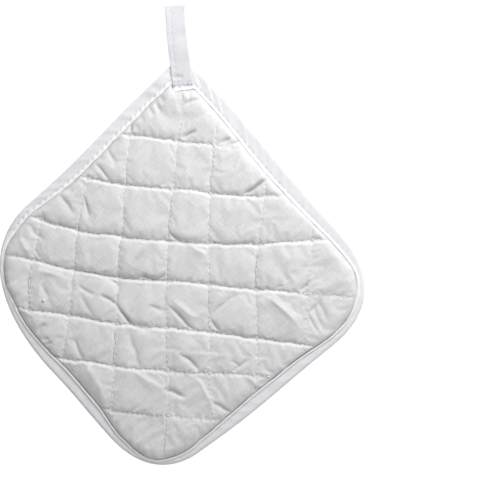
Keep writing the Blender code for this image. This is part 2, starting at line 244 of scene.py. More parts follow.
# The creases of the quilted face that lie across its cells.
CREASES = (
    Crease("pucker_1", ((-19.8, 77.5), (-18.0, 73.5), (-16.5, 71.1)), 1.0, 1.4),
    Crease("pucker_2", ((-15.6, 80.0), (-13.8, 76.0), (-12.0, 72.6)), 1.0, 1.4),
    Crease("pucker_3", ((-13.3, 84.0), (-12.0, 80.5), (-10.8, 77.7)), 1.0, 1.3),
    Crease("pucker_4", ((-46.8, 52.8), (-42.9, 47.1), (-39.0, 39.6)), 1.6, 1.1),
    Crease("pucker_5", ((-51.6, 42.4), (-47.1, 37.0), (-42.0, 31.0)), 1.8, 1.2),
    Crease("pucker_6", ((-74.0, 24.5), (-69.3, 18.9), (-64.0, 10.7)), 1.6, 1.2),
    Crease("pucker_7", ((-59.4, 23.0), (-57.3, 16.5), (-55.6, 9.4)), 1.1, 1.5),
    Crease("pucker_8", ((-91.4, 6.5), (-87.3, 0.3), (-82.5, -3.9)), 1.5, 1.2),
    Crease("pucker_9", ((-98.1, -0.9), (-95.1, -6.3), (-90.9, -12.3)), 1.3, -0.9),
    Crease("pucker_10", ((-30.6, 67.5), (-31.0, 64.0), (-31.5, 60.9)), 0.9, 1.5),
    Crease("a_right_1", ((-0.3, 57.0), (3.9, 60.0), (9.0, 62.3)), 1.0, 2.6),
    Crease("a_right_2", ((21.0, 53.6), (24.9, 55.5), (28.8, 57.8)), 0.9, 2.4),
    Crease("a_right_3", ((25.8, 52.0), (30.3, 54.3), (34.2, 56.6)), 0.9, 2.4),
    Crease("top_line", ((-0.3, 77.1), (5.7, 79.5), (12.6, 81.8)), 1.2, 1.5),
    Crease("b_right_1", ((35.4, 23.0), (42.9, 27.9), (50.8, 32.8)), 1.1, 3.8),
    Crease("b_right_2", ((54.6, 22.2), (58.5, 23.7), (61.8, 26.0)), 0.9, 1.5),
    Crease("c_middle", ((-8.6, 1.3), (-2.7, -3.0), (3.0, -5.2), (10.8, -6.0)), 0.9, 3.4),
    Crease("c_middle_ridge", ((1.5, -5.8), (8.5, -8.6), (15.6, -13.0)), 1.5, -1.2, -0.6),
    Crease("c_cell_ridge", ((-28.6, -13.8), (-23.3, -9.6), (-17.6, -5.6), (-9.9, -4.6)), 1.2, -1.8, -0.3),
    Crease(
        "d_hook",
        ((-28.5, -26.3), (-23.2, -25.5), (-18.0, -27.0), (-14.5, -26.6), (-9.4, -22.8)),
        0.9,
        4.2,
    ),
    Crease("d_left_arch", ((-91.5, -27.6), (-86.1, -22.5), (-78.3, -23.1), (-73.5, -27.0)), 1.4, -0.9),
    Crease("d_left_inner", ((-84.9, -29.3), (-82.5, -33.3), (-79.3, -39.1)), 1.2, 1.2),
    Crease("d_right_1", ((54.6, -33.9), (57.3, -31.5), (60.6, -29.5)), 1.0, 1.4),
    Crease("d_right_2", ((69.6, -34.5), (72.9, -31.5), (76.8, -28.0)), 1.0, 1.6),
    Crease("left_lead", ((-63.0, -30.7), (-57.0, -34.1), (-51.7, -35.9)), 1.1, 1.2),
    Crease("left_lead_end", ((-50.4, -35.8), (-44.2, -38.7), (-38.2, -42.8)), 1.1, 2.1),
    Crease("fold_over", ((-46.3, -24.6), (-41.4, -28.2), (-36.7, -32.6)), 1.5, 1.5),
    Crease(
        "deep_left",
        ((-40.2, -41.4), (-37.5, -45.0), (-33.3, -50.4), (-28.5, -54.3), (-22.5, -56.4), (-15.6, -57.3)),
        1.0,
        3.4,
    ),
    Crease("left_arc", ((-62.1, -33.9), (-57.9, -41.1), (-52.2, -49.6)), 1.4, 0.6),
    Crease("mid_left_short", ((-21.3, -42.0), (-15.5, -43.9), (-9.6, -46.0)), 1.2, 1.1),
    Crease(
        "long_middle",
        ((-9.9, -41.4), (-3.9, -46.5), (0.6, -51.0), (4.5, -54.9), (10.5, -58.2)),
        1.0,
        2.2,
    ),
    Crease("middle_ridge", ((-7.5, -37.8), (-1.2, -43.2), (4.8, -47.9), (12.3, -51.4)), 1.4, -1.2, -0.2),
    Crease("middle_hook", ((15.9, -49.8), (18.9, -53.7), (22.2, -58.8)), 1.1, 1.4),
    Crease("middle_rise", ((16.8, -49.9), (24.9, -41.1), (33.6, -35.5)), 1.5, 1.1),
    Crease(
        "right_sweep",
        ((46.2, -34.9), (53.1, -39.0), (61.5, -45.7), (67.5, -52.3), (72.3, -58.5)),
        1.4,
        -1.5,
        -0.3,
    ),
    Crease("right_sweep_side", ((52.9, -34.0), (63.0, -41.0), (73.6, -52.0)), 1.2, 0.5),
    Crease("right_fan_1", ((77.4, -40.7), (81.3, -50.1), (86.3, -60.1)), 1.0, 1.1),
    Crease("right_fan_2", ((73.8, -44.9), (77.7, -52.5), (82.1, -60.7)), 1.0, 1.2),
    Crease("right_fan_3", ((81.1, -38.9), (84.3, -46.5), (88.1, -52.9)), 1.0, 0.8),
    Crease("right_fan_cross", ((73.1, -47.4), (79.5, -44.1), (84.0, -39.0)), 0.9, 0.8),
    Crease("e_left_soft", ((-87.0, -60.0), (-84.6, -56.4), (-81.4, -53.2)), 1.2, 1.3),
    Crease("e_left_short", ((-84.0, -63.6), (-81.9, -62.4), (-79.2, -62.0)), 0.9, 1.3),
    Crease("e_left_last", ((-82.2, -66.4), (-80.1, -65.2), (-77.4, -64.8)), 0.9, 1.1),
    Crease("low_left_line", ((-65.4, -61.6), (-62.1, -68.7), (-59.0, -76.3)), 1.1, 1.2),
    Crease(
        "low_left_roll",
        ((-67.5, -77.8), (-59.0, -76.8), (-55.2, -81.0), (-52.6, -86.6), (-48.3, -93.6), (-42.9, -101.6)),
        1.6,
        -0.5,
        -0.45,
    ),
    Crease("stand_up", ((-33.0, -57.5), (-30.4, -63.0), (-26.9, -74.5), (-24.0, -80.3)), 1.9, 1.0, -0.3),
    Crease(
        "low_sweep",
        ((-40.5, -80.0), (-33.9, -80.0), (-28.5, -82.5), (-22.5, -85.8), (-15.0, -89.9), (-8.2, -91.8)),
        1.9,
        -0.75,
        -0.72,
    ),
    Crease("low_sweep_end", ((-11.9, -91.3), (-3.9, -95.1), (3.3, -98.2)), 1.2, 2.4),
    Crease("centre_curl", ((-2.5, -70.6), (3.5, -74.6), (7.5, -79.0), (10.0, -83.5)), 1.0, 2.2),
    Crease("low_right", ((6.7, -82.2), (12.9, -93.3), (16.8, -101.7), (19.6, -113.0)), 1.8, -1.1, -0.55),
    Crease("low_right_cross", ((17.3, -99.3), (23.7, -103.5), (30.6, -107.0)), 1.1, 1.3),
    Crease("corner_cross", ((37.9, -81.0), (41.7, -86.7), (45.5, -92.5)), 1.2, -0.8),
    Crease("f_right_rise", ((29.4, -82.8), (35.1, -78.3), (42.0, -73.3)), 1.2, 1.2),
    Crease("f_right_fall", ((27.0, -75.1), (31.5, -77.0), (36.0, -80.6)), 1.1, 0.9),
)

DRAGS = (
    Drag("low_corner", -24.0, -119.0, 15.0, 36.0, 2.6, 0.34),
    Drag("low_corner_right", 8.0, -121.0, 8.0, 20.0, 2.2, 0.26),
    Drag("upper_right", 38.0, 40.0, 13.0, 28.0, 3.2, 0.30),
    Drag("top_right", 10.0, 80.0, 11.0, 26.0, 3.4, 0.34),
    Drag("right_middle", 68.0, -16.0, 14.0, 24.0, 3.2, 0.26),
    Drag("right_tip", 80.0, -50.0, 9.0, -64.0, 2.6, 0.30),
    Drag("left_tip", -92.0, -14.0, 9.0, -58.0, 3.0, 0.36),
    Drag("upper_left", -57.0, 30.0, 14.0, -56.0, 3.8, 0.36),
    Drag("top_left", -22.0, 76.0, 10.0, -66.0, 3.2, 0.30),
)

# The loop's tape, from its back end by the fold to its front end.
BACK_LEG = (
    LoopStation(5.2, 89.5, 0.6, 20.0),
    LoopStation(1.8, 98.0, 0.6, 18.0),
    LoopStation(-1.4, 107.0, 0.6, 11.0),
    LoopStation(-3.1, 120.0, 0.6, 4.0),
    LoopStation(-4.0, 134.4, 0.6, 1.0),
)
FRONT_LEG = (
    LoopStation(-4.45, 134.6, 6.4, 1.0),
    LoopStation(-3.7, 123.9, 7.4, 4.0),
    LoopStation(-2.65, 113.1, 7.9, 6.0),
    LoopStation(-1.3, 102.3, 7.9, 7.0),
    LoopStation(0.1, 89.4, 7.9, 4.0),
)

LIGHTS = (
    Light("key", (0.22, 0.36, 0.36), 0.36, 2.9),
    Light("fill", (0.15, 0.25, 1.3), 1.4, 5.85),
)


def unit(vectors: np.ndarray) -> np.ndarray:
    """The vectors with a length of one."""
    return vectors / np.linalg.norm(vectors, axis=-1, keepdims=True)


def ease(share: np.ndarray) -> np.ndarray:
    """A share from 0 to 1, made to start and end gently."""
    held = np.clip(share, 0.0, 1.0)
    return held * held * (3 - 2 * held)


def bump(distance: np.ndarray, width: float) -> np.ndarray:
    """A soft round hump, 1 at no distance and nearly gone at twice its width."""
    return np.exp(-((distance / width) ** 2))


def through(values: np.ndarray, place: np.ndarray) -> np.ndarray:
    """The smooth curve through each row of evenly spaced values, at a place of its own.

    Args:
        values: One row of values for each place.
        place: Where on its row each answer is read, in steps from the first value.

    Returns:
        One value for each place.
    """
    last = values.shape[1] - 1
    start = np.clip(np.floor(place).astype(int), 0, last - 1)
    before, here, there, after = (
        np.take_along_axis(values, np.clip(start + shift, 0, last)[:, None], 1)[:, 0]
        for shift in (-1, 0, 1, 2)
    )
    t = place - start
    return (
        here
        + (there - before) / 2 * t
        + (2 * before - 5 * here + 4 * there - after) / 2 * t**2
        + (3 * here - before - 3 * there + after) / 2 * t**3
    )


def smooth_path(rows: np.ndarray, steps_each: int) -> np.ndarray:
    """The smooth curve through rows of values.

    Args:
        rows: The values that it goes through, one row for each station.
        steps_each: Number of steps from each row to the next.

    Returns:
        The values along the curve, one row for each step.
    """
    steps = steps_each * (len(rows) - 1) + 1
    place = np.linspace(0, len(rows) - 1, steps)
    return np.column_stack([through(np.tile(column, (steps, 1)), place) for column in rows.T])


def lengths_along(path: np.ndarray) -> np.ndarray:
    """How far along a path each of its points lies."""
    return np.concatenate(((0,), np.cumsum(np.linalg.norm(np.diff(path, axis=0), axis=1))))


def nearest_on(
    path: np.ndarray, x: np.ndarray, y: np.ndarray
) -> tuple[np.ndarray, np.ndarray, np.ndarray]:
    """Where on a path the nearest point to each place is.

    Args:
        path: The path's points.
        x: Places across the face.
        y: Places up the face.

    Returns:
        The distances to it, the shares of the path before it, and the path's sides: 1 left of its
        way and -1 right of it.
    """
    best, along, side = np.full(len(x), math.inf), np.zeros(len(x)), np.zeros(len(x))
    for number, (start, end) in enumerate(zip(path, path[1:])):
        run = end - start
        t = ((x - start[0]) * run[0] + (y - start[1]) * run[1]) / (run @ run)
        t = np.clip(t, 0, 1)
        away = np.hypot(x - start[0] - run[0] * t, y - start[1] - run[1] * t)
        nearer = away < best
        best[nearer] = away[nearer]
        cross = run[0] * (y - start[1]) - run[1] * (x - start[0])
        side[nearer] = np.sign(cross[nearer])
        along[nearer] = (number + t[nearer]) / (len(path) - 1)
    return best, along, side


class Unevenness:
    """Smooth unevenness from -1 to 1 over a plane: a seeded lattice of heights, eased between."""

    LATTICE = 128

    def __init__(self, seed: int, spacing: float) -> None:
        """Draw the lattice.

        Args:
            seed: Seed of the heights.
            spacing: Distance between the lattice's points.
        """
        self.heights = np.random.default_rng(seed).uniform(-1, 1, (self.LATTICE, self.LATTICE))
        self.spacing = spacing

    def at(self, x: np.ndarray, y: np.ndarray) -> np.ndarray:
        """The unevenness at these places."""
        across, along = np.broadcast_arrays(x / self.spacing, y / self.spacing)
        column, row = np.floor(across).astype(int), np.floor(along).astype(int)
        s, t = ease(across - column), ease(along - row)
        size = self.LATTICE
        corners = [
            self.heights[(column + i) % size, (row + j) % size] for i in (0, 1) for j in (0, 1)
        ]
        low = corners[0] * (1 - t) + corners[1] * t
        high = corners[2] * (1 - t) + corners[3] * t
        return low * (1 - s) + high * s


@dataclass
class Rim:
    """The outline of the holder, and what is measured in from it."""

    step: float = 0.7
    eased_over: int = 6
    stations: np.ndarray = field(init=False)
    points: np.ndarray = field(init=False)
    way_in: np.ndarray = field(init=False)
    slant: np.ndarray = field(init=False)
    leaf: np.ndarray = field(init=False)
    eased_leaf: np.ndarray = field(init=False)
    lip: np.ndarray = field(init=False)
    length: np.ndarray = field(init=False)

    def __post_init__(self) -> None:
        """Work out the outline's points and their tables."""
        self.stations, self.points = self._outline()
        self.way_in = unit(CENTRE - self.points)
        ahead = np.roll(self.points, -1, axis=0) - self.points
        along = unit(ahead + np.roll(ahead, 1, axis=0))
        self.slant = (self.way_in * np.column_stack((-along[:, 1], along[:, 0]))).sum(axis=1)
        self.length = np.concatenate(((0.0,), np.cumsum(np.linalg.norm(ahead, axis=1))))
        places = self.stations % len(CORNERS)
        rows = np.array([(row.station, row.width, row.lip) for row in UPPER_LEAF])
        below = np.searchsorted(rows[:, 0], places, side="right") - 1
        below = np.clip(below, 0, len(rows) - 2)
        share = ease((places - rows[below, 0]) / (rows[below + 1, 0] - rows[below, 0]))
        self.leaf = rows[below, 1] * (1 - share) + rows[below + 1, 1] * share
        self.lip = rows[below, 2] * (1 - share) + rows[below + 1, 2] * share
        self.leaf = np.maximum(self.leaf, self._corner_leaf())
        shifts = range(-self.eased_over, self.eased_over + 1)
        self.eased_leaf = np.mean([np.roll(self.leaf, shift) for shift in shifts], axis=0)

    def _corner_leaf(self) -> np.ndarray:
        """The leaf that reaches the binding's straight inner edge across the loop's corner."""
        foot, rise = np.array((0.2, 86.5)), 0.13
        left_end, right_end = -6.6, 12.0
        across, up = self.points.T
        reach = up - foot[1] - rise * (across - foot[0])
        reach = reach / (rise * self.way_in[:, 0] - self.way_in[:, 1])
        near = ease((across - left_end) / 1.2) * ease((right_end - across) / 2.0)
        return np.where(up > foot[1], reach * self.slant * near, 0.0)

    def _outline(self) -> tuple[np.ndarray, np.ndarray]:
        """The stations and points of the outline, counterclockwise from before the top corner."""
        crossings = np.array([(corner.x, corner.y) for corner in CORNERS])
        stations, points = [], []
        for index, corner in enumerate(CORNERS):
            here = crossings[index]
            following = (index + 1) % len(CORNERS)
            back = unit(crossings[index - 1] - here)
            ahead = unit(crossings[following] - here)
            before, after = back * corner.round_before, ahead * corner.round_after
            steps = round((corner.round_before + corner.round_after) / self.step)
            t = np.arange(steps)[:, None] / steps
            points.append(
                (1 - t) ** 3 * (here + before)
                + 3 * (1 - t) ** 2 * t * (here + before * CORNER_FULLNESS)
                + 3 * (1 - t) * t**2 * (here + after * CORNER_FULLNESS)
                + t**3 * (here + after)
            )
            stations.append(index - QUARTER + 2 * QUARTER * t[:, 0])

            start = here + after
            end = crossings[following] - ahead * CORNERS[following].round_before
            steps = round(float(np.linalg.norm(end - start)) / self.step)
            t = np.arange(steps)[:, None] / steps
            side = SIDES[index]
            bend = side.dip * np.sin(math.pi * t) + side.sway * np.sin(2 * math.pi * t)
            points.append(start + (end - start) * t + np.array((-ahead[1], ahead[0])) * bend)
            stations.append(index + QUARTER + 2 * QUARTER * t[:, 0])
        return np.concatenate(stations), np.concatenate(points)

    def around(self, x: np.ndarray, y: np.ndarray) -> tuple[np.ndarray, np.ndarray]:
        """How far in from the outline places lie, square to it, and where round it.

        Args:
            x: Places across the face.
            y: Places up the face.

        Returns:
            The depths, and the outline's own numbering at each place, by part numbers.
        """
        spokes = self.points - CENTRE
        angles = np.unwrap(np.arctan2(spokes[:, 1], spokes[:, 0]))
        angle = np.arctan2(y - CENTRE[1], x - CENTRE[0])
        angle = angles[0] + (angle - angles[0]) % (2 * math.pi)
        number = np.interp(angle, np.append(angles, angles[0] + 2 * math.pi), np.arange(len(angles) + 1))
        reach = self.read(np.linalg.norm(spokes, axis=1), number)
        away = np.hypot(x - CENTRE[0], y - CENTRE[1])
        return (reach - away) * self.read(self.slant, number), number

    def read(self, column: np.ndarray, number: np.ndarray) -> np.ndarray:
        """A column of the rim's tables at these part numbers round the outline."""
        return np.interp(number, np.arange(len(column) + 1), np.append(column, column[0]))

    def station_at(self, number: np.ndarray) -> np.ndarray:
        """The stations at these part numbers round the outline."""
        return self.read(self.stations, number) % len(CORNERS)

    def along_at(self, number: np.ndarray) -> np.ndarray:
        """How far round the outline these part numbers lie."""
        return np.interp(number, np.arange(len(self.length)), self.length)

    def past_leaf(self, depth: np.ndarray, number: np.ndarray) -> np.ndarray:
        """How far in from the upper leaf's inner edge these depths lie."""
        return depth - self.read(self.leaf, number)

    def point_at(self, number: float, depth: float) -> np.ndarray:
        """The place at a part number round the outline, this far in from it."""
        base = np.array([self.read(column, number) for column in self.points.T])
        return base + unit(CENTRE - base) * depth / self.read(self.slant, number)

    def snapped(
        self, shape: bmesh.types.BMesh, flat: np.ndarray, edge_depth: float
    ) -> tuple[np.ndarray, np.ndarray, np.ndarray, np.ndarray]:
        """Places in the face, with a cloth's open edge moved to an even depth.

        Args:
            shape: The cloth.
            flat: Where its points lie in the face.
            edge_depth: How far in from the outline its edge goes.

        Returns:
            The places, their depths, their part numbers, and which of them are on the edge.
        """
        edge = np.array([vert.is_boundary for vert in shape.verts])
        depth, number = self.around(*flat.T)
        outward = (depth - edge_depth) / self.read(self.slant, number) * edge
        moved = flat + unit(flat - CENTRE) * outward[:, None]
        return moved, np.where(edge, edge_depth, depth), number, edge


def corner_lift(x: np.ndarray, y: np.ndarray) -> np.ndarray:
    """How far the tape under the top corner raises what lies on it."""
    centre, full, end = (2.0, 98.0), 15.0, 31.0
    away = np.hypot(x - centre[0], y - centre[1])
    return (TAPE + GAP) * ease((end - away) / (end - full))


def flat_places(verts: Iterable[bmesh.types.BMVert]) -> np.ndarray:
    """Where the points lie across and up."""
    return np.array([vert.co[:2] for vert in verts])


def move_to(verts: Iterable[bmesh.types.BMVert], places: np.ndarray) -> None:
    """Move the points to these places, given in millimetres."""
    for vert, place in zip(verts, (places * MM).tolist()):
        vert.co = place


def trim(shape: bmesh.types.BMesh, outside: np.ndarray) -> None:
    """Cut a cloth's points off that lie outside, and then those that hold on by one face or none.

    Args:
        shape: The cloth.
        outside: Which of its points lie outside.
    """
    gone = [vert for vert, far in zip(shape.verts, outside) if far]
    bmesh.ops.delete(shape, geom=gone, context="VERTS")
    loose = [vert for vert in shape.verts if len(vert.link_faces) < 2]
    bmesh.ops.delete(shape, geom=loose, context="VERTS")


def grid(
    name: str, places: np.ndarray, weave_places: np.ndarray, shades: np.ndarray
) -> bpy.types.Object:
    """A smooth surface over a grid of places, joined where its edges meet.

    Args:
        name: Name of the new object.
        places: The places in millimetres, by column, row and axis.
        weave_places: Where on its tape each place lies, for the weave, in millimetres.
        shades: How much each place has of its finish's shade colour, from 0 to 1.

    Returns:
        The object, in the scene.
    """
    counts = np.array(places.shape[:2]) - 1
    shape = bmesh.new()
    bmesh.ops.create_grid(shape, x_segments=int(counts[0]), y_segments=int(counts[1]), size=0.5)
    shape.verts.ensure_lookup_table()
    column, row = np.rint((flat_places(shape.verts) + 0.5) * counts).astype(int).T
    layer = shape.loops.layers.uv.new("tape")
    laid = (weave_places[column, row] * MM).tolist()
    for face in shape.faces:
        for corner in face.loops:
            corner[layer].uv = laid[corner.vert.index]
    shade = shape.verts.layers.float.new("shade")
    rows = zip(shape.verts, (places[column, row] * MM).tolist(), shades[column, row].tolist())
    for vert, place, dark in rows:
        vert.co = place
        vert[shade] = dark
    bmesh.ops.remove_doubles(shape, verts=shape.verts, dist=0.001 * MM)
    open_edges = [edge for edge in shape.edges if edge.is_boundary]
    if open_edges:
        bmesh.ops.holes_fill(shape, edges=open_edges, sides=0)
    bmesh.ops.recalc_face_normals(shape, faces=shape.faces)
    return add_object(name, shape)


def add_object(name: str, shape: bmesh.types.BMesh) -> bpy.types.Object:
    """An object of this name in the scene that holds the mesh in progress, shaded smooth."""
    mesh = bpy.data.meshes.new(name)
    shape.to_mesh(mesh)
    shape.free()
    mesh.shade_smooth()
    piece = bpy.data.objects.new(name, mesh)
    bpy.context.scene.collection.objects.link(piece)
    return piece


def surface_of(piece: bpy.types.Object) -> BVHTree:
    """A tree that finds the piece's surface."""
    mesh = piece.data
    corners = [vert.co.copy() for vert in mesh.vertices]
    return BVHTree.FromPolygons(corners, [tuple(face.vertices) for face in mesh.polygons])


def height_over(surface: BVHTree, x: float, y: float, from_below: bool = False) -> float | None:
    """The height of the surface's upper or, from below, lower side at a place, or None."""
    start, way = (-0.05, 1.0) if from_below else (0.05, -1.0)
    found = surface.ray_cast(Vector((x * MM, y * MM, start)), Vector((0, 0, way)))[0]
    return None if found is None else found.z / MM


def finish_piece(piece: bpy.types.Object, finish: bpy.types.Material, slot: str, *nodes: str) -> None:
    """Give a piece its finish and its body, and hide the frame's solids that it stands for.

    Args:
        piece: The finished mesh.
        finish: Its material.
        slot: Not used; the record's material slot for it.
        nodes: The frame's solids that it replaces.
    """
    piece.data.materials.clear()
    piece.data.materials.append(finish)
    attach(piece, BODY)
    if nodes:
        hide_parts(*nodes)
    LOG.info("%s: %d faces", piece.name, len(piece.data.polygons))


class NodeSheet:
    """A material's node tree, with short calls to add to it."""

    def __init__(self, name: str) -> None:
        """Start a material of this name."""
        self.material = bpy.data.materials.new(name)
        self.material.use_nodes = True
        self.tree = self.material.node_tree
        self.shader = self.tree.nodes["Principled BSDF"]

    def feed(self, node: bpy.types.Node, inputs: dict) -> None:
        """Set a node's inputs.

        Args:
            node: The node.
            inputs: A value, or another node's output, for each named or numbered input.
        """
        for name, value in inputs.items():
            if isinstance(value, bpy.types.NodeSocket):
                self.tree.links.new(value, node.inputs[name])
            else:
                node.inputs[name].default_value = value

    def add(self, kind: str, inputs: dict | None = None, **settings: object) -> bpy.types.Node:
        """Add a node.

        Args:
            kind: The node's type, without its ShaderNode prefix.
            inputs: A value, or another node's output, for each named or numbered input.
            settings: The node's own properties.

        Returns:
            The node.
        """
        node = self.tree.nodes.new(f"ShaderNode{kind}")
        for name, value in settings.items():
            setattr(node, name, value)
        self.feed(node, inputs or {})
        return node

    def maths(self, operation: str, *values: object) -> bpy.types.NodeSocket:
        """The result of a Math node on these values or outputs."""
        return self.add("Math", dict(enumerate(values)), operation=operation).outputs[0]

    def mix(self, share: object, low: object, high: object, **settings: object) -> bpy.types.NodeSocket:
        """The result of a Mix node on two colours."""
        return self.add("Mix", {0: share, 6: low, 7: high}, data_type="RGBA", **settings).outputs[2]

    def dimmed(self, colour: object, light: bpy.types.NodeSocket) -> bpy.types.NodeSocket:
        """A colour times a grey of this lightness."""
        grey = self.add("CombineColor", dict.fromkeys(range(3), light)).outputs[0]
        return self.mix(1.0, colour, grey, blend_type="MULTIPLY")

    def laid(self, source: bpy.types.NodeSocket, turn: float, pitch: float) -> bpy.types.NodeSocket:
        """Coordinates turned by an angle, a unit of them as long as the pitch."""
        inputs = {"Vector": source, "Rotation": (0, 0, turn), "Scale": (1 / (pitch * MM),) * 3}
        return self.add("Mapping", inputs).outputs[0]


@dataclass(frozen=True)
class PlainWeave:
    """A plain-woven white cotton: the finish of every piece of cloth here."""

    name: str
    colour: tuple[float, float, float]
    shade_colour: tuple[float, float, float]
    thread: float = 0.42
    turn: float = 43.0
    slub: float = 0.5
    relief: float = 0.10
    roughness: float = 0.92
    sheen: float = 0.1
    coordinates: Coordinates = Coordinates.FACE

    def _threads(self, sheet: NodeSheet, place: bpy.types.NodeSocket) -> bpy.types.NodeSocket:
        """The height of the crossing threads, from 0 to 1."""
        split = sheet.add("SeparateXYZ", {0: place})
        waves = [sheet.maths("SINE", sheet.maths("MULTIPLY", split.outputs[i], math.pi)) for i in (0, 1)]
        return sheet.maths("MULTIPLY_ADD", sheet.maths("MULTIPLY", *waves), 0.5, 0.5)

    def _slubs(self, sheet: NodeSheet, place: bpy.types.NodeSocket) -> bpy.types.NodeSocket:
        """Thicker and thinner stretches of the threads both ways, about 0.5."""
        ways = ((0.05, 0.75, 1.0), (0.75, 0.05, 1.0))
        noises = []
        for way in ways:
            stretched = sheet.add("Mapping", {"Vector": place, "Scale": way})
            noise = sheet.add("TexNoise", {"Vector": stretched.outputs[0], "Scale": 1.0, "Detail": 2.0})
            noises.append(noise.outputs["Fac"])
        return sheet.maths("MULTIPLY", sheet.maths("ADD", *noises), 0.5)

    def build(self) -> bpy.types.Material:
        """The material of this finish."""
        sheet = NodeSheet(self.name)
        if self.coordinates is Coordinates.TAPE:
            source = sheet.add("UVMap", uv_map="tape").outputs["UV"]
        else:
            source = sheet.add("TexCoord").outputs["Object"]
        place = sheet.laid(source, math.radians(self.turn), self.thread)
        threads = self._threads(sheet, place)
        slubs = self._slubs(sheet, place)
        mottle = sheet.add("TexNoise", {"Vector": place, "Scale": 0.04, "Detail": 3.0}).outputs["Fac"]

        light = sheet.maths("MULTIPLY_ADD", slubs, 1.2 * self.slub, 1 - 0.6 * self.slub)
        light = sheet.maths("MULTIPLY", light, sheet.maths("MULTIPLY_ADD", mottle, 0.06, 0.97))
        # The shade attribute is painted shade, and where it is low it is a painted highlight: it mixes in
        # the shade colour.
        painted_shade = sheet.add("Attribute", attribute_name="shade").outputs["Fac"]
        toned = sheet.mix(painted_shade, (*self.colour, 1), (*self.shade_colour, 1))
        height = sheet.maths("MULTIPLY_ADD", slubs, self.slub * 1.6, sheet.maths("MULTIPLY", threads, 0.8))
        relief = sheet.add("Bump", {"Height": height, "Distance": self.relief * MM, "Strength": 1.0})
        sheet.feed(
            sheet.shader,
            {
                "Base Color": sheet.dimmed(toned, light),
                "Normal": relief.outputs[0],
                "Roughness": self.roughness,
                "Sheen Weight": self.sheen,
                "Sheen Roughness": 0.6,
                "Specular IOR Level": 0.1,
            },
        )
        return sheet.material


@dataclass(frozen=True)
class Thread:
    """White sewing thread, twisted along its stitch."""

    name: str = "sewing_thread"
    colour: tuple[float, float, float] = (0.93, 0.93, 0.92)
    roughness: float = 0.6
    twist_turn: float = 0.6
    twist_pitch: float = 0.3

    def build(self) -> bpy.types.Material:
        """The material of this finish."""
        sheet = NodeSheet(self.name)
        place = sheet.laid(sheet.add("TexCoord").outputs["Object"], self.twist_turn, self.twist_pitch)
        wave = sheet.add("TexWave", {"Vector": place, "Scale": 0.5, "Distortion": 1.0})
        twist = wave.outputs["Fac"]
        tone = sheet.maths("MULTIPLY_ADD", twist, 0.08, 0.92)
        sheet.feed(
            sheet.shader,
            {
                "Base Color": sheet.dimmed((*self.colour, 1), tone),
                "Normal": sheet.add("Bump", {"Height": twist, "Distance": 0.05 * MM}).outputs[0],
                "Roughness": self.roughness,
                "Sheen Weight": 0.2,
            },
        )
        return sheet.material


@dataclass
class Stitching:
    """A row of separate stitches, joined in one mesh."""

    name: str
    thickness: float = 0.75
    shape: bmesh.types.BMesh = field(default_factory=bmesh.new)

    def stitch(self, start: Vector, end: Vector, thickness: float = 0.0) -> None:
        """Lay one stitch from a hole to the next, thickest at its middle.

        Args:
            start: The first hole.
            end: The second hole.
            thickness: The thread's, where it isn't the row's own.
        """
        run = end - start
        turn = run.to_track_quat("X", "Z").to_matrix().to_4x4()
        half = (thickness or self.thickness) / 2
        size = Matrix.Diagonal((run.length / 2, half, half, 1))
        place = Matrix.Translation((start + end) / 2) @ turn @ size
        bmesh.ops.create_uvsphere(
            self.shape,
            u_segments=6,
            v_segments=5,
            radius=1,
            matrix=Matrix.Scale(MM, 4) @ place @ Matrix.Rotation(math.pi / 2, 4, "Y"),
        )

    def over(
        self,
        surface: BVHTree,
        holes: list[tuple[float, float]],
        rise: float,
        from_below: bool = False,
        thickness: float = 0.0,
    ) -> None:
        """Lay one stitch on a surface, where both of its holes are on that.

        Args:
            surface: The surface.
            holes: The places of its holes: fewer than two where it isn't sewn.
            rise: How far over the surface its ends lie.
            from_below: True where it lies on the surface's lower side.
            thickness: The thread's, where it isn't the row's own.
        """
        heights = [height_over(surface, x, y, from_below) for x, y in holes]
        if len(heights) == 2 and None not in heights:
            start, end = (Vector((*hole, height + rise)) for hole, height in zip(holes, heights))
            self.stitch(start, end, thickness)

    def build(self) -> bpy.types.Object:
        """The stitches as one object."""
        return add_object(self.name, self.shape)


class SeamFamily:
    """The seams that run one way, and the places between them."""

    def __init__(self, seams: tuple[Seam, ...], stations: tuple[float, ...], seed: int) -> None:
        """Gather the seams.

        Args:
            seams: The seams in order.
            stations: Where along a seam its seven values lie.
            seed: Seed of their wobble.
        """
        self.names = [seam.name for seam in seams]
        self.places = np.array([seam.places for seam in seams], float)
        self.tight = np.array([seam.tightness for seam in seams], float)
        self.start, self.gap = stations[0], stations[1] - stations[0]
        self.wobble = Unevenness(seed, 6.5)
        self.fine_wobble = Unevenness(seed + 50, 2.3)

    def _between(self, table: np.ndarray, line: np.ndarray, along: np.ndarray, wobble: float) -> np.ndarray:
        """A table's value between two seams."""
        low = np.clip(np.floor(line).astype(int), 0, len(table) - 2)
        share = line - low
        place = np.clip((along - self.start) / self.gap, 0, table.shape[1] - 1)
        ends = [
            through(table[low + step], place)
            + wobble * self.wobble.at(along, 37.0 * (low + step))
            + 0.5 * wobble * self.fine_wobble.at(along, 37.0 * (low + step))
            for step in (0, 1)
        ]
        return ends[0] * (1 - share) + ends[1] * share

    def place(self, line: np.ndarray, along: np.ndarray) -> np.ndarray:
        """Where the line of this part number lies at a place along it."""
        return self._between(self.places, line, along, 0.6)

    def tightness(self, line: np.ndarray, along: np.ndarray) -> np.ndarray:
        """How tight the nearest seam is at a place along it."""
        return self._between(self.tight, np.rint(line), along, 0.12)


@dataclass(frozen=True)
class PuffEdge:
    """How a cell's puff rises from a seam: a sharp part near it, and a soft part further in."""

    share: float
    reach: float
    power: float
    soft_share: float
    soft_reach: float

    def rise(self, distance: np.ndarray, steepness: np.ndarray) -> np.ndarray:
        """The share of the puff's height at these distances from the seam."""
        sharp = self.share * np.exp(-((distance * steepness / self.reach) ** self.power))
        return 1 - sharp - self.soft_share * np.exp(-distance / self.soft_reach)


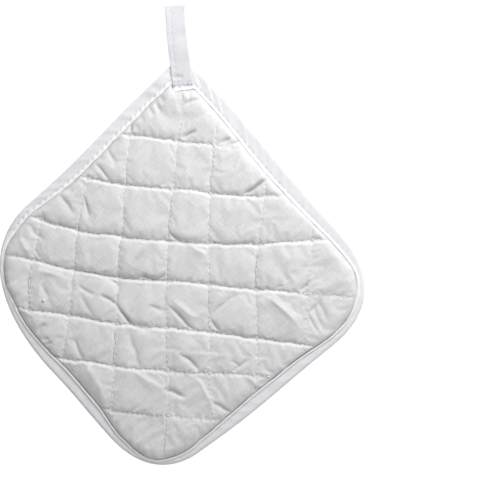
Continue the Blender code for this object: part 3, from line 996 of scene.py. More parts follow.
@dataclass
class Quilting:
    """The sewn rows and columns of the face, and the relief that they and the creases give it."""

    rows: SeamFamily = field(default_factory=lambda: SeamFamily(ROWS, ROW_STATIONS, 11))
    columns: SeamFamily = field(default_factory=lambda: SeamFamily(COLUMNS, COLUMN_STATIONS, 12))

    # The stitches: a hole at the start and the end of each, as shares of the pitch.
    stitch_pitch: float = 5.8
    stitch_start: float = 0.26
    stitch_end: float = 0.74
    stitch_held: float = 0.27
    seam_shift: float = 0.37
    pull_rise: float = 0.45
    pull_pit: float = 0.5
    column_pull: float = 0.55

    # The puffs of the cells.
    top_edge: PuffEdge = PuffEdge(0.7, 1.0, 1.3, 0.3, 2.6)
    foot_edge: PuffEdge = PuffEdge(0.4, 0.75, 1.4, 0.6, 2.0)
    seam_height: float = 5.6
    loose_lift: float = 3.8
    tight_drop: float = 1.5
    crown: float = 8.7
    rim_roll: float = 0.12
    sag: float = 0.2
    doming: float = 0.12
    column_groove: float = 0.16
    # Painted shade and painted highlight: the share of the shade colour over the cells, along the seams and
    # along the columns; the cells' top rims get less of it.
    body_shade: float = 0.28
    seam_shade: float = 0.46
    column_shade: float = 0.06

    # The creases.
    crispness: float = 0.25
    ridge_flank: float = 1.2
    trough_flank: float = 0.75
    crease_sway: float = 0.6
    crease_taper: float = 2.6
    crease_steps: int = 8
    crease_shade: float = 0.18
    unshaded_depth: float = 0.5

    def crossings(self, row: np.ndarray, column: np.ndarray) -> tuple[np.ndarray, np.ndarray]:
        """Where lines of these part numbers cross in the face."""
        x = self.columns.place(column, np.full(len(row), CENTRE[1]))
        y = self.rows.place(row, x)
        for _ in range(8):
            x = self.columns.place(column, y)
            y = self.rows.place(row, x)
        return x, y

    def phase(self, line: np.ndarray, along: np.ndarray) -> np.ndarray:
        """The place within the nearest seam's stitches, as a share of their pitch."""
        phase = along / self.stitch_pitch + self.seam_shift * np.rint(line)
        return phase - np.floor(phase)

    def _seam_pull(self, line: np.ndarray, along: np.ndarray, aside: np.ndarray) -> np.ndarray:
        """How the stitches of the nearest seam pull the cloth: pits at holes, rises between.

        Args:
            line: Part number across the family's lines.
            along: Place along the seams.
            aside: Distance to the nearest seam.

        Returns:
            The change of height.
        """
        phase = self.phase(line, along)
        over = 0.5 + 0.5 * np.cos(2 * math.pi * phase)
        hole = np.minimum(abs(phase - self.stitch_start), abs(phase - self.stitch_end))
        pit = bump(np.hypot(hole * self.stitch_pitch, aside), 0.7)
        return self.pull_rise * over * bump(aside, 1.0) - self.pull_pit * pit

    def held(self, row: np.ndarray, column: np.ndarray, x: np.ndarray, y: np.ndarray) -> np.ndarray:
        """Which points of the face lie under a stitch that holds them down.

        Args:
            row: Part number down the rows.
            column: Part number across the columns.
            x: Place across the face.
            y: Place up the face.

        Returns:
            True for each point that is held.
        """
        under = np.zeros(len(x), bool)
        for line, along in ((row, x), (column, y)):
            on_seam = abs(line - np.rint(line)) < 0.002
            under |= on_seam & (abs(self.phase(line, along) - 0.5) < self.stitch_held)
        return under

    def _corner_draw(
        self, row: np.ndarray, column: np.ndarray, aside_row: np.ndarray, aside_column: np.ndarray
    ) -> np.ndarray:
        """How far a cell's corners are drawn down, unevenly, as a share of its puff.

        Args:
            row: Part number down the rows.
            column: Part number across the columns.
            aside_row: Distance to the nearest row.
            aside_column: Distance to the nearest column.

        Returns:
            The shares.
        """
        above = row - np.floor(row) > 0.5
        draw = Unevenness(23, 1.0).at(np.rint(row) * 2.0 + above, np.rint(column))
        reach = 2.9 + 1.1 * Unevenness(24, 1.0).at(np.rint(column), np.rint(row) * 2.0 + above)
        draw = 0.32 + 0.25 * draw + 0.15 * (1 - above)
        return draw * np.exp(-np.hypot(aside_row, 1.1 * aside_column) / reach)

    def relief(
        self, row: np.ndarray, column: np.ndarray, x: np.ndarray, y: np.ndarray
    ) -> tuple[np.ndarray, np.ndarray]:
        """The height and the tone of the face, without its creases.

        Args:
            row: Part number down the rows.
            column: Part number across the columns.
            x: Place across the face.
            y: Place up the face.

        Returns:
            The heights, and how much of the shade colour each place has, from 0 to 1.
        """
        cell_row, cell_column = np.floor(row), np.floor(column)
        down, across = row - cell_row, column - cell_column
        tall = self.rows.place(cell_row, x) - self.rows.place(cell_row + 1, x)
        wide = self.columns.place(cell_column + 1, y) - self.columns.place(cell_column, y)
        below_seam, above_seam = down * tall, (1 - down) * tall
        aside_row = np.minimum(below_seam, above_seam)
        aside_column = np.minimum(across, 1 - across) * wide
        tight = self.rows.tightness(row, x)
        column_tight = self.columns.tightness(column, y)

        recede = 1.1 + 0.7 * Unevenness(26, 1.0).at(np.rint(row) * 2.0, np.rint(column) * 2.0)
        rounding = recede * np.exp(-aside_column / 1.5)
        below_seam = np.maximum(below_seam - rounding, 0)
        above_seam = np.maximum(above_seam - 0.6 * rounding, 0)
        steepness = 1 + 0.4 * Unevenness(25, 3.6).at(x, 20.0 * np.rint(row))
        puff = self.top_edge.rise(below_seam, steepness) * self.foot_edge.rise(above_seam, steepness)
        puff *= 1 - self.sag * down**2.5 - 0.03 * (1 - down) ** 3
        puff += self.rim_roll * bump(below_seam - 2.0, 0.95)
        dome = 1 - self.doming * np.abs(2 * across - 1) ** 2
        groove = self.column_groove * column_tight * np.exp(-aside_column / 1.2)
        puff *= dome * (1 - groove)
        puff *= 1 - self._corner_draw(row, column, aside_row, aside_column)

        crown = self.crown + 0.5 * np.sin(2.3 * cell_row + 1.7 * cell_column)
        crown = crown + 0.25 * Unevenness(21, 17.0).at(x, y) + 0.08 * Unevenness(22, 7.0).at(x, y)
        lift = np.where(tight > 1, self.tight_drop, self.loose_lift)
        seam = self.seam_height - lift * (tight - 1)
        height = seam + (crown - seam) * puff
        height += self._seam_pull(row, x, aside_row)
        height += self.column_pull * self._seam_pull(column, y, aside_column) * column_tight
        # Painted highlight: the cells' top rims, just below the seams, take less of the shade colour.
        # Painted shade: more of it along the seams and the columns.
        painted_rim_highlight = bump(below_seam - 0.9, 0.7) * (1 - 0.6 * bump(aside_column, 1.0))
        shade = self.body_shade * (1 - painted_rim_highlight * ease((tight - 0.2) / 0.7))
        shade += self.seam_shade * np.maximum(tight**2, 0.4) * bump(aside_row, 0.5)
        shade += self.column_shade * bump(aside_column, 0.6)
        return height, shade

    def creases(self, x: np.ndarray, y: np.ndarray) -> tuple[np.ndarray, np.ndarray]:
        """The change of height and tone that the creases and the pull lines give.

        Args:
            x: Place across the face.
            y: Place up the face.

        Returns:
            The changes of height, and how much more of the shade colour each place has.
        """
        height, shade = np.zeros(len(x)), np.zeros(len(x))
        sways = [self.crease_sway * Unevenness(seed, 5.0).at(x, y) for seed in (82, 83)]
        x, y = x + sways[0], y + sways[1]
        for crease in CREASES:
            away, along, side = nearest_on(smooth_path(np.array(crease.points), self.crease_steps), x, y)
            taper = ease(np.minimum(along, 1 - along) * self.crease_taper)
            off_line = np.hypot(away, self.crispness) - self.crispness
            flank = self.trough_flank if crease.depth > 0 else self.ridge_flank
            flank = flank * crease.width * (1 + crease.lean * side)
            height -= crease.depth * taper * np.exp(-off_line / flank)
            dark = max(crease.depth - self.unshaded_depth, 0) * self.crease_shade
            shade += dark * taper * bump(away, crease.width * 0.5)
        for drag in DRAGS:
            turn = math.radians(drag.turn)
            off = (y - drag.y) * math.cos(turn) - (x - drag.x) * math.sin(turn)
            along = (x - drag.x) * math.cos(turn) + (y - drag.y) * math.sin(turn)
            lines = Unevenness(81, drag.pitch / 2).at(off, along / 12)
            height += drag.depth * lines * bump(np.hypot(off, along), drag.reach)
        return height, shade


@dataclass
class Settling:
    """A cloth simulation that lets a sewn cloth, cut a little too large, pucker between stitches."""

    growth: float = 0.04
    pressure: float = 0.1
    bending: float = 4.0
    stretch: float = 15.0
    frames: int = 14
    scale: float = 20.0
    share: float = 0.45
    most_rise: float = 1.5
    most_fall: float = 1.0
    most_aside: float = 0.7
    quality: int = 4
    air_damping: float = 3.0

    def _cloth(self, piece: bpy.types.Object) -> None:
        """Add the cloth to the piece, held by its group."""
        cloth = piece.modifiers.new("cloth", "CLOTH")
        settings = cloth.settings
        settings.quality = self.quality
        settings.tension_stiffness = settings.compression_stiffness = self.stretch
        settings.bending_stiffness = self.bending
        settings.air_damping = self.air_damping
        settings.use_pressure = True
        settings.uniform_pressure_force = self.pressure
        settings.shrink_min = -self.growth
        settings.vertex_group_mass = "held"
        settings.effector_weights.gravity = 0
        cloth.collision_settings.use_collision = False
        cloth.point_cache.frame_start = 1
        cloth.point_cache.frame_end = self.frames

    def settle(self, shape: bmesh.types.BMesh, held: np.ndarray) -> np.ndarray:
        """Let the cloth settle.

        Args:
            shape: The cloth before it settles, in metres.
            held: Which of its points the stitches and the edge hold still.

        Returns:
            Its points in millimetres after it has settled, none further than the caps allow.
        """
        start = np.array([vert.co[:] for vert in shape.verts]) / MM
        large = shape.copy()
        bmesh.ops.scale(large, vec=(self.scale,) * 3, verts=large.verts)
        piece = add_object("settling_cloth", large)
        piece.vertex_groups.new(name="held").add(np.nonzero(held)[0].tolist(), 1.0, "REPLACE")
        self._cloth(piece)
        scene = bpy.context.scene
        scene.frame_start, scene.frame_end = 1, self.frames
        for number in range(1, self.frames + 1):
            scene.frame_set(number)
        settled = piece.evaluated_get(bpy.context.evaluated_depsgraph_get()).data
        places = np.array([vert.co[:] for vert in settled.vertices]) / self.scale / MM
        scene.frame_set(1)
        mesh = piece.data
        bpy.data.objects.remove(piece)
        bpy.data.meshes.remove(mesh)
        shift = (places - start) * self.share
        shift[:, :2] = np.clip(shift[:, :2], -self.most_aside, self.most_aside)
        shift[:, 2] = np.clip(shift[:, 2], -self.most_fall, self.most_rise)
        return start + shift


@dataclass
class QuiltedFront:
    """The quilted face with its wadding: one filled piece, and the thread that quilts it."""

    rim: Rim
    quilting: Quilting
    settling: Settling = field(default_factory=Settling)
    row_steps: int = 44
    column_steps: int = 50
    edge_depth: float = 1.8
    edge_top: float = PAD_RIM + 0.5
    blend_sharpness: float = 2.0
    knot: tuple[float, float] = (-82.7, -39.4)

    def _crossings(self, shape: bmesh.types.BMesh) -> tuple[np.ndarray, ...]:
        """The row and column numbers of each point of the flat grid, and where it lies in the face."""
        counts = (self.column_steps * (len(COLUMNS) - 1), self.row_steps * (len(ROWS) - 1))
        number = np.rint((flat_places(shape.verts) + 0.5) * counts).astype(int)
        lines = []
        for axis, steps in enumerate((self.column_steps, self.row_steps)):
            share = (number[:, axis] % steps) / steps
            closer = share - 0.35 * np.sin(2 * math.pi * share) / (2 * math.pi)
            lines.append(number[:, axis] // steps + closer)
        row, column = (len(ROWS) - 1) - lines[1], lines[0]
        return row, column, *self.quilting.crossings(row, column)

    def _cut(self) -> bmesh.types.BMesh:
        """The flat grid of the face's lines, cut off at the edge."""
        shape = bmesh.new()
        bmesh.ops.create_grid(
            shape,
            x_segments=self.column_steps * (len(COLUMNS) - 1),
            y_segments=self.row_steps * (len(ROWS) - 1),
            size=0.5,
        )
        _, _, x, y = self._crossings(shape)
        depth, _ = self.rim.around(x, y)
        trim(shape, depth < self.edge_depth)
        return shape

    def _rim_ceiling(self, depth: np.ndarray, number: np.ndarray) -> np.ndarray:
        """The height that the binding leaves the pad: low under its leaf, then free."""
        past = self.rim.past_leaf(depth, number)
        eased_past = depth - self.rim.read(self.rim.eased_leaf, number)
        past = past + (eased_past - past) * ease((past - 0.3) / 2.0)
        lip = self.rim.read(self.rim.lip, number)
        past = past * (1.25 - 0.25 * lip)
        return np.interp(past, *np.array(CEILING).T) + 0.7 * lip * bump(past - 0.9, 1.0)

    def _edge_puckers(self, past: np.ndarray, number: np.ndarray) -> np.ndarray:
        """The small gathers that run in from the bound edge."""
        along = self.rim.along_at(number)
        strength = 0.4 + 0.3 * Unevenness(41, 30.0).at(along, np.zeros(len(along)))
        strength = strength + 0.3 * bump(self.rim.station_at(number) - 0.5, 0.5)
        waves = Unevenness(42, 3.2).at(along + 0.5 * past, past * 0.12)
        return strength * waves * np.exp(-np.maximum(past, 0) / 5.5)

    def _surface(
        self,
        lines: tuple[np.ndarray, np.ndarray],
        flat: np.ndarray,
        depth: np.ndarray,
        number: np.ndarray,
    ) -> tuple[np.ndarray, np.ndarray]:
        """The height and the tone of the face, under the rim's ceiling and with its creases.

        Args:
            lines: The row and the column numbers of its points.
            flat: Where they lie in the face.
            depth: How far in from the outline they lie.
            number: Where round the outline they lie, by part numbers.

        Returns:
            The heights, and how much of the shade colour each point has, from 0 to 1.
        """
        x, y = flat.T
        height, shade = self.quilting.relief(*lines, x, y)
        powers = [np.exp(-self.blend_sharpness * top) for top in (height, self._rim_ceiling(depth, number))]
        height = -np.log(powers[0] + powers[1]) / self.blend_sharpness
        past = self.rim.past_leaf(depth, number)
        folds, fold_shade = self.quilting.creases(x, y)
        free = ease((past + 0.2) / 1.5)
        on_seam = bump((lines[0] - np.rint(lines[0])) * 27, 1.5)
        height += (folds * (1 - 0.7 * on_seam) + self._edge_puckers(past, number)) * free
        height += 0.06 * free * Unevenness(31, 2.6).at(x * 0.8 + y * 0.6, (y * 0.8 - x * 0.6) * 0.22)
        # Painted shadow of the binding's inner edge on the pad, fainter at the left corner.
        painted_edge_shadow = 0.36 * (1 - 0.9 * bump(self.rim.station_at(number) - 0.95, 0.1))
        shade = shade + fold_shade + painted_edge_shadow * bump(np.maximum(past, 0), 0.5)
        return height, np.clip(shade, 0, 1)

    def build(self) -> bpy.types.Object:
        """The padded piece."""
        shape = self._cut()
        row, column, x, y = self._crossings(shape)
        flat, depth, number, edge = self.rim.snapped(shape, np.column_stack((x, y)), self.edge_depth)
        height, shade = self._surface((row, column), flat, depth, number)
        height = np.where(edge, self.edge_top, height) + corner_lift(*flat.T)
        layer = shape.verts.layers.float.new("shade")
        move_to(shape.verts, np.column_stack((flat, height)))
        for vert, dark in zip(shape.verts, shade):
            vert[layer] = dark
        held = (self.rim.past_leaf(depth, number) < 0.3) | self.quilting.held(row, column, *flat.T)
        move_to(shape.verts, self.settling.settle(shape, held))
        self._close(shape)
        return add_object("quilted_face", shape)

    def _close(self, shape: bmesh.types.BMesh) -> None:
        """Close the pad below: down its edge, in under it, and across its flat underside."""
        rings = (
            (self.edge_depth, PAD_RIM),
            (LOWER_LEAF + 1.0, PAD_RIM),
            (LOWER_LEAF + 3.5, PAD_BOTTOM),
        )
        for ring_depth, height in rings:
            edges = [one for one in shape.edges if one.is_boundary]
            added = bmesh.ops.extrude_edge_only(shape, edges=edges)["geom"]
            verts = [item for item in added if isinstance(item, bmesh.types.BMVert)]
            flat = flat_places(verts) / MM
            depth, number = self.rim.around(*flat.T)
            step = (ring_depth - depth) / self.rim.read(self.rim.slant, number)
            flat += unit(CENTRE - flat) * step[:, None]
            move_to(verts, np.column_stack((flat, height + corner_lift(*flat.T))))
        open_edges = [one for one in shape.edges if one.is_boundary]
        bmesh.ops.holes_fill(shape, edges=open_edges, sides=0)
        bmesh.ops.recalc_face_normals(shape, faces=shape.faces)

    def sew(self, face: bpy.types.Object) -> bpy.types.Object:
        """The quilting thread: a stitch over every second stretch of each seam."""
        surface = surface_of(face)
        sewing = Stitching("quilting_thread")
        for axis, family in enumerate((self.quilting.rows, self.quilting.columns)):
            for index, name in enumerate(family.names):
                if name not in UNSEWN:
                    self._sew_seam(sewing, surface, family, index, axis)
        self._knot(sewing, surface)
        return sewing.build()

    def _knot(self, sewing: Stitching, surface: BVHTree) -> None:
        """The small knot of thread that lies on a cell near the left corner."""
        top = height_over(surface, *self.knot) or self.quilting.crown
        middle = Vector((*self.knot, top + 0.5))
        for turn in (0.3, 1.5, 2.6):
            arm = Vector((math.cos(turn), math.sin(turn), 0.1)) * 1.1
            sewing.stitch(middle - arm, middle + arm, 2.0)

    def _sew_seam(
        self, sewing: Stitching, surface: BVHTree, family: SeamFamily, index: int, axis: int
    ) -> None:
        """Sew one seam.

        Args:
            sewing: What the stitches are added to.
            surface: The face's surface.
            family: The seam's family.
            index: The seam's number in it.
            axis: 0 where the family's seams run across the face, 1 where they run down it.
        """
        quilting = self.quilting
        pitch = quilting.stitch_pitch
        first = math.floor(-150 / pitch)
        starts = (np.arange(first, -first) + quilting.stitch_start - quilting.seam_shift * index) * pitch
        for start in starts:
            holes = []
            for along in (start, start + (quilting.stitch_end - quilting.stitch_start) * pitch):
                aside = family.place(np.array((float(index),)), np.array((along,)))[0]
                hole = (along, aside) if axis == 0 else (aside, along)
                depth, number = self.rim.around(*np.array(hole)[:, None])
                if self.rim.past_leaf(depth, number)[0] > 1.0:
                    holes.append(hole)
            sewing.over(surface, holes, 0.3, thickness=0.7 - 0.12 * axis)


@dataclass
class EdgeBinding:
    """The binding tape folded round the edge, and the thread that sews it down."""

    rim: Rim
    upper_roll: float = 2.5
    lower_roll: float = 2.0
    most_roll_share: float = 0.6
    fullness: float = 2.6
    upper_samples: int = 26
    roll_samples: int = 9
    lower_samples: int = 14
    stitch_pitch: float = 4.4
    stitch_inset: float = 1.8
    thickness: float = 0.9
    body_shade: float = 0.45
    lower_stitch_inset: float = 2.0
    least_sewn_leaf: float = 3.8
    most_sewn_lip: float = 0.3
    tick_depth: float = 0.65

    def _upper(self, depth: np.ndarray, number: np.ndarray) -> np.ndarray:
        """The height of the tape's upper side at these depths round the outline."""
        leaf = self.rim.read(self.rim.leaf, number)
        lip = self.rim.read(self.rim.lip, number)
        along = self.rim.along_at(number)
        roll = np.minimum(self.upper_roll, self.most_roll_share * leaf)
        over = np.clip((roll - depth) / roll, 0, 1)
        half = EDGE_THICKNESS / 2
        height = half + half * np.maximum(1 - over**self.fullness, 0) ** (1 / self.fullness)
        from_edge = leaf - depth
        height = height + lip * bump(np.maximum(from_edge - 0.5, 0), 0.55)
        flat = (1 - over) ** 0.7
        sewn = (1 - np.clip(lip / self.most_sewn_lip, 0, 1)) * ease((leaf - 3.5) / 1.5)
        pressed = sewn * (1 - 0.6 * ease((self.rim.station_at(number) - 3) * 2))
        puckers = Unevenness(51, 4.2).at(along + 1.3 * depth, depth * 0.14)
        height = height + (0.15 + 0.2 * pressed) * puckers * flat
        past_row = from_edge - self.stitch_inset
        height = height - flat * pressed * 0.2 * bump(past_row, 0.6)
        tick = 0.5 + 0.5 * np.cos(2 * math.pi * (along + 0.5 * past_row) / self.stitch_pitch)
        return height - flat * sewn * self.tick_depth * tick**4 * bump(past_row + 0.3, 0.65)

    def _lower(self, along: np.ndarray) -> tuple[np.ndarray, np.ndarray]:
        """The tape's outer side from the edge's middle down and in: depth and height."""
        half = EDGE_THICKNESS / 2
        turn = np.linspace(0, math.pi / 2, self.roll_samples + 1)[1:]
        leaf = np.linspace(self.lower_roll, LOWER_LEAF, self.lower_samples + 1)[1:]
        depth = np.concatenate((self.lower_roll * (1 - np.cos(turn)), leaf))
        height = np.concatenate((half - half * np.sin(turn), np.zeros(len(leaf))))
        from_edge = LOWER_LEAF - depth[None, :]
        groove = 0.35 * bump(from_edge - self.lower_stitch_inset, 0.8) * (depth > self.lower_roll)
        puckers = 0.25 * (1 + Unevenness(53, 5.0).at(along + from_edge, from_edge * 0.1)) / 2
        puckers = puckers * ease((depth[None, :] - self.lower_roll) / 2.5)
        return np.tile(depth, (len(along), 1)), height[None, :] + groove + puckers

    def _profile(self) -> tuple[np.ndarray, np.ndarray]:
        """The tape's outer side round the edge: depth and height, by station and sample."""
        along = self.rim.length[:-1]
        number = np.arange(len(along))[:, None] * np.ones(self.upper_samples + 1)
        share = np.linspace(0, 1, self.upper_samples + 1)
        share = share - 0.048 * np.sin(2 * math.pi * share)
        leaf = self.rim.leaf + 0.28 * Unevenness(52, 7.0).at(along, 3.0)
        depth = leaf[:, None] * (1 - share)
        height = self._upper(depth, number)
        lower_depth, lower_height = self._lower(along[:, None])
        return np.hstack((depth, lower_depth)), np.hstack((height, lower_height))

    def _cap(self, middle: np.ndarray, out: np.ndarray, run: np.ndarray, way: float) -> np.ndarray:
        """The round end of the tape's section.

        Args:
            middle: The middle of the cloth at the end.
            out: The way out of its outer side there.
            run: The way along it from its upper to its lower end.
            way: 1 at the lower end, -1 at the upper one.

        Returns:
            The end's points, from the outer side to the inner at the lower end.
        """
        reach = way * self.thickness / 2
        turns = np.array((0.25, 0.5, 0.75)) * math.pi
        ends = [middle + out * reach * math.cos(t) + run * reach * math.sin(t) for t in turns]
        return np.stack(ends, axis=1)

    def build(self) -> bpy.types.Object:
        """The tape, as a closed fold of cloth all round the holder."""
        depth, height = self._profile()
        run = unit(np.stack((np.gradient(depth, axis=1), np.gradient(height, axis=1)), axis=-1))
        out = np.stack((run[..., 1], -run[..., 0]), axis=-1)
        section = np.stack((depth, height), axis=-1)
        inner = section - out * self.thickness
        middle = (section + inner) / 2
        lower_cap = self._cap(middle[:, -1], out[:, -1], run[:, -1], 1.0)
        upper_cap = self._cap(middle[:, 0], out[:, 0], run[:, 0], -1.0)
        every = slice(None, None, -2)
        loop = np.concatenate((section, lower_cap, inner[:, every], upper_cap, section[:, :1]), axis=1)
        inward = (loop[..., 0] / self.rim.slant[:, None])[..., None]
        flat = self.rim.points[:, None] + self.rim.way_in[:, None] * inward
        lift = corner_lift(flat[..., 0], flat[..., 1])
        places = np.concatenate((flat, (loop[..., 1] + lift)[..., None]), axis=-1)
        places = np.concatenate((places, places[:1]), axis=0)
        steps = np.linalg.norm(np.diff(loop, axis=1), axis=-1)
        across = np.concatenate((np.zeros((len(loop), 1)), np.cumsum(steps, axis=1)), axis=1)
        across = np.concatenate((across, across[:1]), axis=0)
        laid = np.stack((np.broadcast_to(self.rim.length[:, None], across.shape), across), axis=-1)
        return grid("bias_binding", places, laid, self._shades(across))

    def _shades(self, across: np.ndarray) -> np.ndarray:
        """The tape's painted tone: a painted highlight along its folded upper edge, and less painted shade
        on the lower bands, whose rolled sides face away from the key light.
        """
        # Painted highlight: no shade colour within the folded margin. Painted light: a lip, on the lower
        # bands, halves the shade colour.
        margin = ease((across - 0.6 * self.stitch_inset) / 0.8)
        lip = np.append(self.rim.lip, self.rim.lip[0])[:, None]
        return self.body_shade * margin * (1 - 0.5 * lip)

    def _holes(self, index: int, from_below: bool) -> list[tuple[float, float]]:
        """The places of a stitch's holes: fewer than two where the leaf is too narrow to be sewn."""
        holes = []
        for share in (0.14, 0.86):
            along = (index + share) * self.stitch_pitch
            number = np.interp(along, self.rim.length, np.arange(len(self.rim.length)))
            leaf = self.rim.read(self.rim.leaf, number)
            lip = self.rim.read(self.rim.lip, number)
            if from_below:
                holes.append(tuple(self.rim.point_at(number, LOWER_LEAF - self.lower_stitch_inset)))
            elif leaf >= self.least_sewn_leaf and lip <= self.most_sewn_lip:
                holes.append(tuple(self.rim.point_at(number, leaf - self.stitch_inset)))
        return holes

    def sew(self, tape: bpy.types.Object) -> bpy.types.Object:
        """The stitches that show on the binding's upper and lower leaves."""
        surface = surface_of(tape)
        sewing = Stitching("binding_thread", thickness=0.3)
        for from_below, rise in ((False, 0.05), (True, -0.05)):
            for index in range(round(self.rim.length[-1] / self.stitch_pitch)):
                sewing.over(surface, self._holes(index, from_below), rise, from_below)
        return sewing.build()


@dataclass
class BackCloth:
    """The plain cloth of the back: flat on the surface, its edge on the binding's lower leaf."""

    rim: Rim
    reach: float = 125.0
    spacing: float = 2.0
    turn: float = 43.0
    thickness: float = 0.5
    edge_depth: float = 2.2

    def _height(self, flat: np.ndarray, depth: np.ndarray) -> np.ndarray:
        """The height of the cloth: soft undulations, and a rise on to the binding's lower leaf."""
        x, y = flat.T
        rise = ease((LOWER_LEAF + 2.6 - depth) / 2.3)
        soft = 0.5 + 0.5 * Unevenness(61, 26.0).at(x * 0.73 + y * 0.68, (y * 0.73 - x * 0.68) * 0.6)
        small = 0.5 + 0.5 * Unevenness(62, 9.0).at(x, y)
        lying = (0.45 * soft + 0.12 * small) * ease((depth - LOWER_LEAF - 2) / 8)
        return lying * (1 - rise) + BACK_RIM * rise + corner_lift(x, y)

    def build(self) -> bpy.types.Object:
        """The cloth, as a thin sheet with soft undulations."""
        count = round(2 * self.reach / self.spacing)
        turn = Matrix.Rotation(math.radians(self.turn), 4, "Z")
        shape = bmesh.new()
        bmesh.ops.create_grid(
            shape,
            x_segments=count,
            y_segments=count,
            size=self.reach,
            matrix=Matrix.Translation(Vector((*CENTRE, 0))) @ turn,
        )
        depth, _ = self.rim.around(*flat_places(shape.verts).T)
        trim(shape, depth < self.edge_depth)
        flat, depth, _, _ = self.rim.snapped(shape, flat_places(shape.verts), self.edge_depth)
        move_to(shape.verts, np.column_stack((flat, self._height(flat, depth))))
        bmesh.ops.recalc_face_normals(shape, faces=shape.faces)
        cloth = add_object("plain_back", shape)
        thickness = cloth.modifiers.new("thickness", "SOLIDIFY")
        thickness.thickness = self.thickness * MM
        thickness.offset = 1.0
        return cloth


@dataclass
class HangingLoop:
    """The loop of folded tape at the top corner, and the thread along and across it."""

    width: float = 12.0
    fold_radius: float = 3.7
    fold_steps: int = 20
    fold_fullness: float = 0.65
    leg_steps: int = 14
    stitch_pitch: float = 4.0
    stitch_inset: float = 3.0
    end_pitch: float = 3.0
    thickness: float = 0.8

    def _leg(self, stations: tuple[LoopStation, ...]) -> np.ndarray:
        """The middle of the tape down one leg, with its turn: a smooth curve."""
        rows = np.array([(one.x, one.y, one.z, one.turn) for one in stations])
        return smooth_path(rows, self.leg_steps)

    def path(self) -> np.ndarray:
        """The middle of the tape from its back end to its front end, with its turn."""
        back, front = self._leg(BACK_LEG), self._leg(FRONT_LEG)
        angle = np.linspace(0, math.pi, self.fold_steps + 1)[1:-1]
        share = ((1 - np.sign(np.cos(angle)) * abs(np.cos(angle)) ** self.fold_fullness) / 2)[:, None]
        fold = back[-1] + (front[0] - back[-1]) * share
        fold[:, 1] += self.fold_radius * np.sin(angle) ** self.fold_fullness
        return np.vstack((back, fold, front))

    def _section(self) -> tuple[np.ndarray, np.ndarray]:
        """How far aside and up each point of the tape's section lies, once round it."""
        half, thick = self.width / 2, self.thickness / 2
        across = np.linspace(-half + thick, half - thick, 29)
        turns = np.linspace(0, math.pi, 7)[1:-1]
        section = [(s, thick) for s in across]
        section += [(half - thick + thick * math.sin(t), thick * math.cos(t)) for t in turns]
        section += [(s, -thick) for s in across[::-1]]
        section += [(-half + thick - thick * math.sin(t), -thick * math.cos(t)) for t in turns]
        section.append(section[0])
        aside, rise = np.array(section).T[:, None]
        return aside, rise

    def _seam_groove(self, along: np.ndarray, aside: np.ndarray) -> np.ndarray:
        """The groove of the stitches along the tape's left edge, with pits at their holes."""
        inset = aside + self.width / 2 - self.stitch_inset
        phase = along / self.stitch_pitch
        phase = phase - np.floor(phase)
        hole = (0.5 - abs(phase - 0.5)) * self.stitch_pitch
        return -0.06 * bump(inset, 0.6) - 0.4 * bump(np.hypot(hole, inset), 0.6)

    def build(self) -> bpy.types.Object:
        """The tape, as a closed strip with folded edges."""
        path = self.path()
        turn = np.radians(path[:, 3])
        side = np.column_stack((np.cos(turn), np.sin(turn), np.zeros(len(turn))))
        up = unit(np.cross(unit(np.gradient(path[:, :3], axis=0)), side))
        aside, rise = self._section()
        along = lengths_along(path[:, :3])[:, None]
        to_end = along[-1] - along
        outer = np.sign(rise)
        off_surface = ease((path[:, 2] - 1.0) / 3.0)[:, None]
        near_end = ease((3.0 - to_end) / 2.6)
        on_binding = ease((20.0 - to_end) / 8.0)
        soft = 0.22 * Unevenness(71, 6.0).at(along, aside * 0.8) * off_surface
        soft = soft * (1 - on_binding) - 0.35 * off_surface - 0.2 * on_binding - 0.25 * near_end
        crease = -1.5 * bump(4.6 - to_end - 0.1 * aside, 0.55)
        crease = crease * ease((aside + self.width / 2) / 2) * ease((2.0 - aside) / 3)
        shift = outer * (self._seam_groove(along, aside) + crease * (outer > 0)) + soft
        narrow = (1 - 0.03 * ease((path[:, 1] - 112.0) / 14.0))[:, None, None]
        places = (
            path[:, None, :3]
            + side[:, None] * aside[..., None] * narrow
            + up[:, None] * (rise * (1 - 0.25 * on_binding - 0.35 * near_end) + shift)[..., None]
        )
        laid = np.stack(np.broadcast_arrays(along, aside), axis=-1)
        return grid("loop_tape_strip", places, laid, np.zeros(places.shape[:2]))

    def _sew_end(self, sewing: Stitching, surface: BVHTree, under: BVHTree) -> None:
        """Sew the tape's front end to the binding under it, with stitches over its edge.

        Args:
            sewing: What the stitches are added to.
            surface: The tape's surface.
            under: The binding's surface.
        """
        end = FRONT_LEG[-1]
        turn = math.radians(end.turn)
        side = Vector((math.cos(turn), math.sin(turn)))
        down = Vector((side.y, -side.x))
        for aside in np.arange(-4.6, 5.0, self.end_pitch):
            foot = Vector((end.x, end.y)) + side * aside
            holes = (foot - down * 1.3 - side * 0.2, foot + down * 1.0 + side * 0.2)
            heights = (height_over(surface, *holes[0]), height_over(under, *holes[1]))
            if None not in heights:
                start, stop = (Vector((*hole, rise + 0.1)) for hole, rise in zip(holes, heights))
                brink = Vector((*(foot + down * 0.2), heights[0] + 0.2))
                sewing.stitch(start, brink, 0.6)
                sewing.stitch(brink, stop, 0.5)

    def sew(self, tape: bpy.types.Object, binding: bpy.types.Object) -> bpy.types.Object:
        """The stitches along the tape's left edge and across its sewn front end.

        Args:
            tape: The loop's tape.
            binding: The binding that its end is sewn to.

        Returns:
            The stitches.
        """
        surface = surface_of(tape)
        sewing = Stitching("loop_thread", thickness=0.3)
        path = self._leg(FRONT_LEG)
        lengths = lengths_along(path[:, :3])
        aside = self.stitch_inset - self.width / 2
        for index in range(int(lengths[-1] / self.stitch_pitch)):
            holes = []
            for share in (0.15, 0.85):
                along = (index + share) * self.stitch_pitch
                x, y, _, turn = (np.interp(along, lengths, column) for column in path.T)
                turn = math.radians(turn)
                holes.append((x + math.cos(turn) * aside, y + math.sin(turn) * aside))
            sewing.over(surface, holes, 0.08)
        self._sew_end(sewing, surface, surface_of(binding))
        return sewing.build()


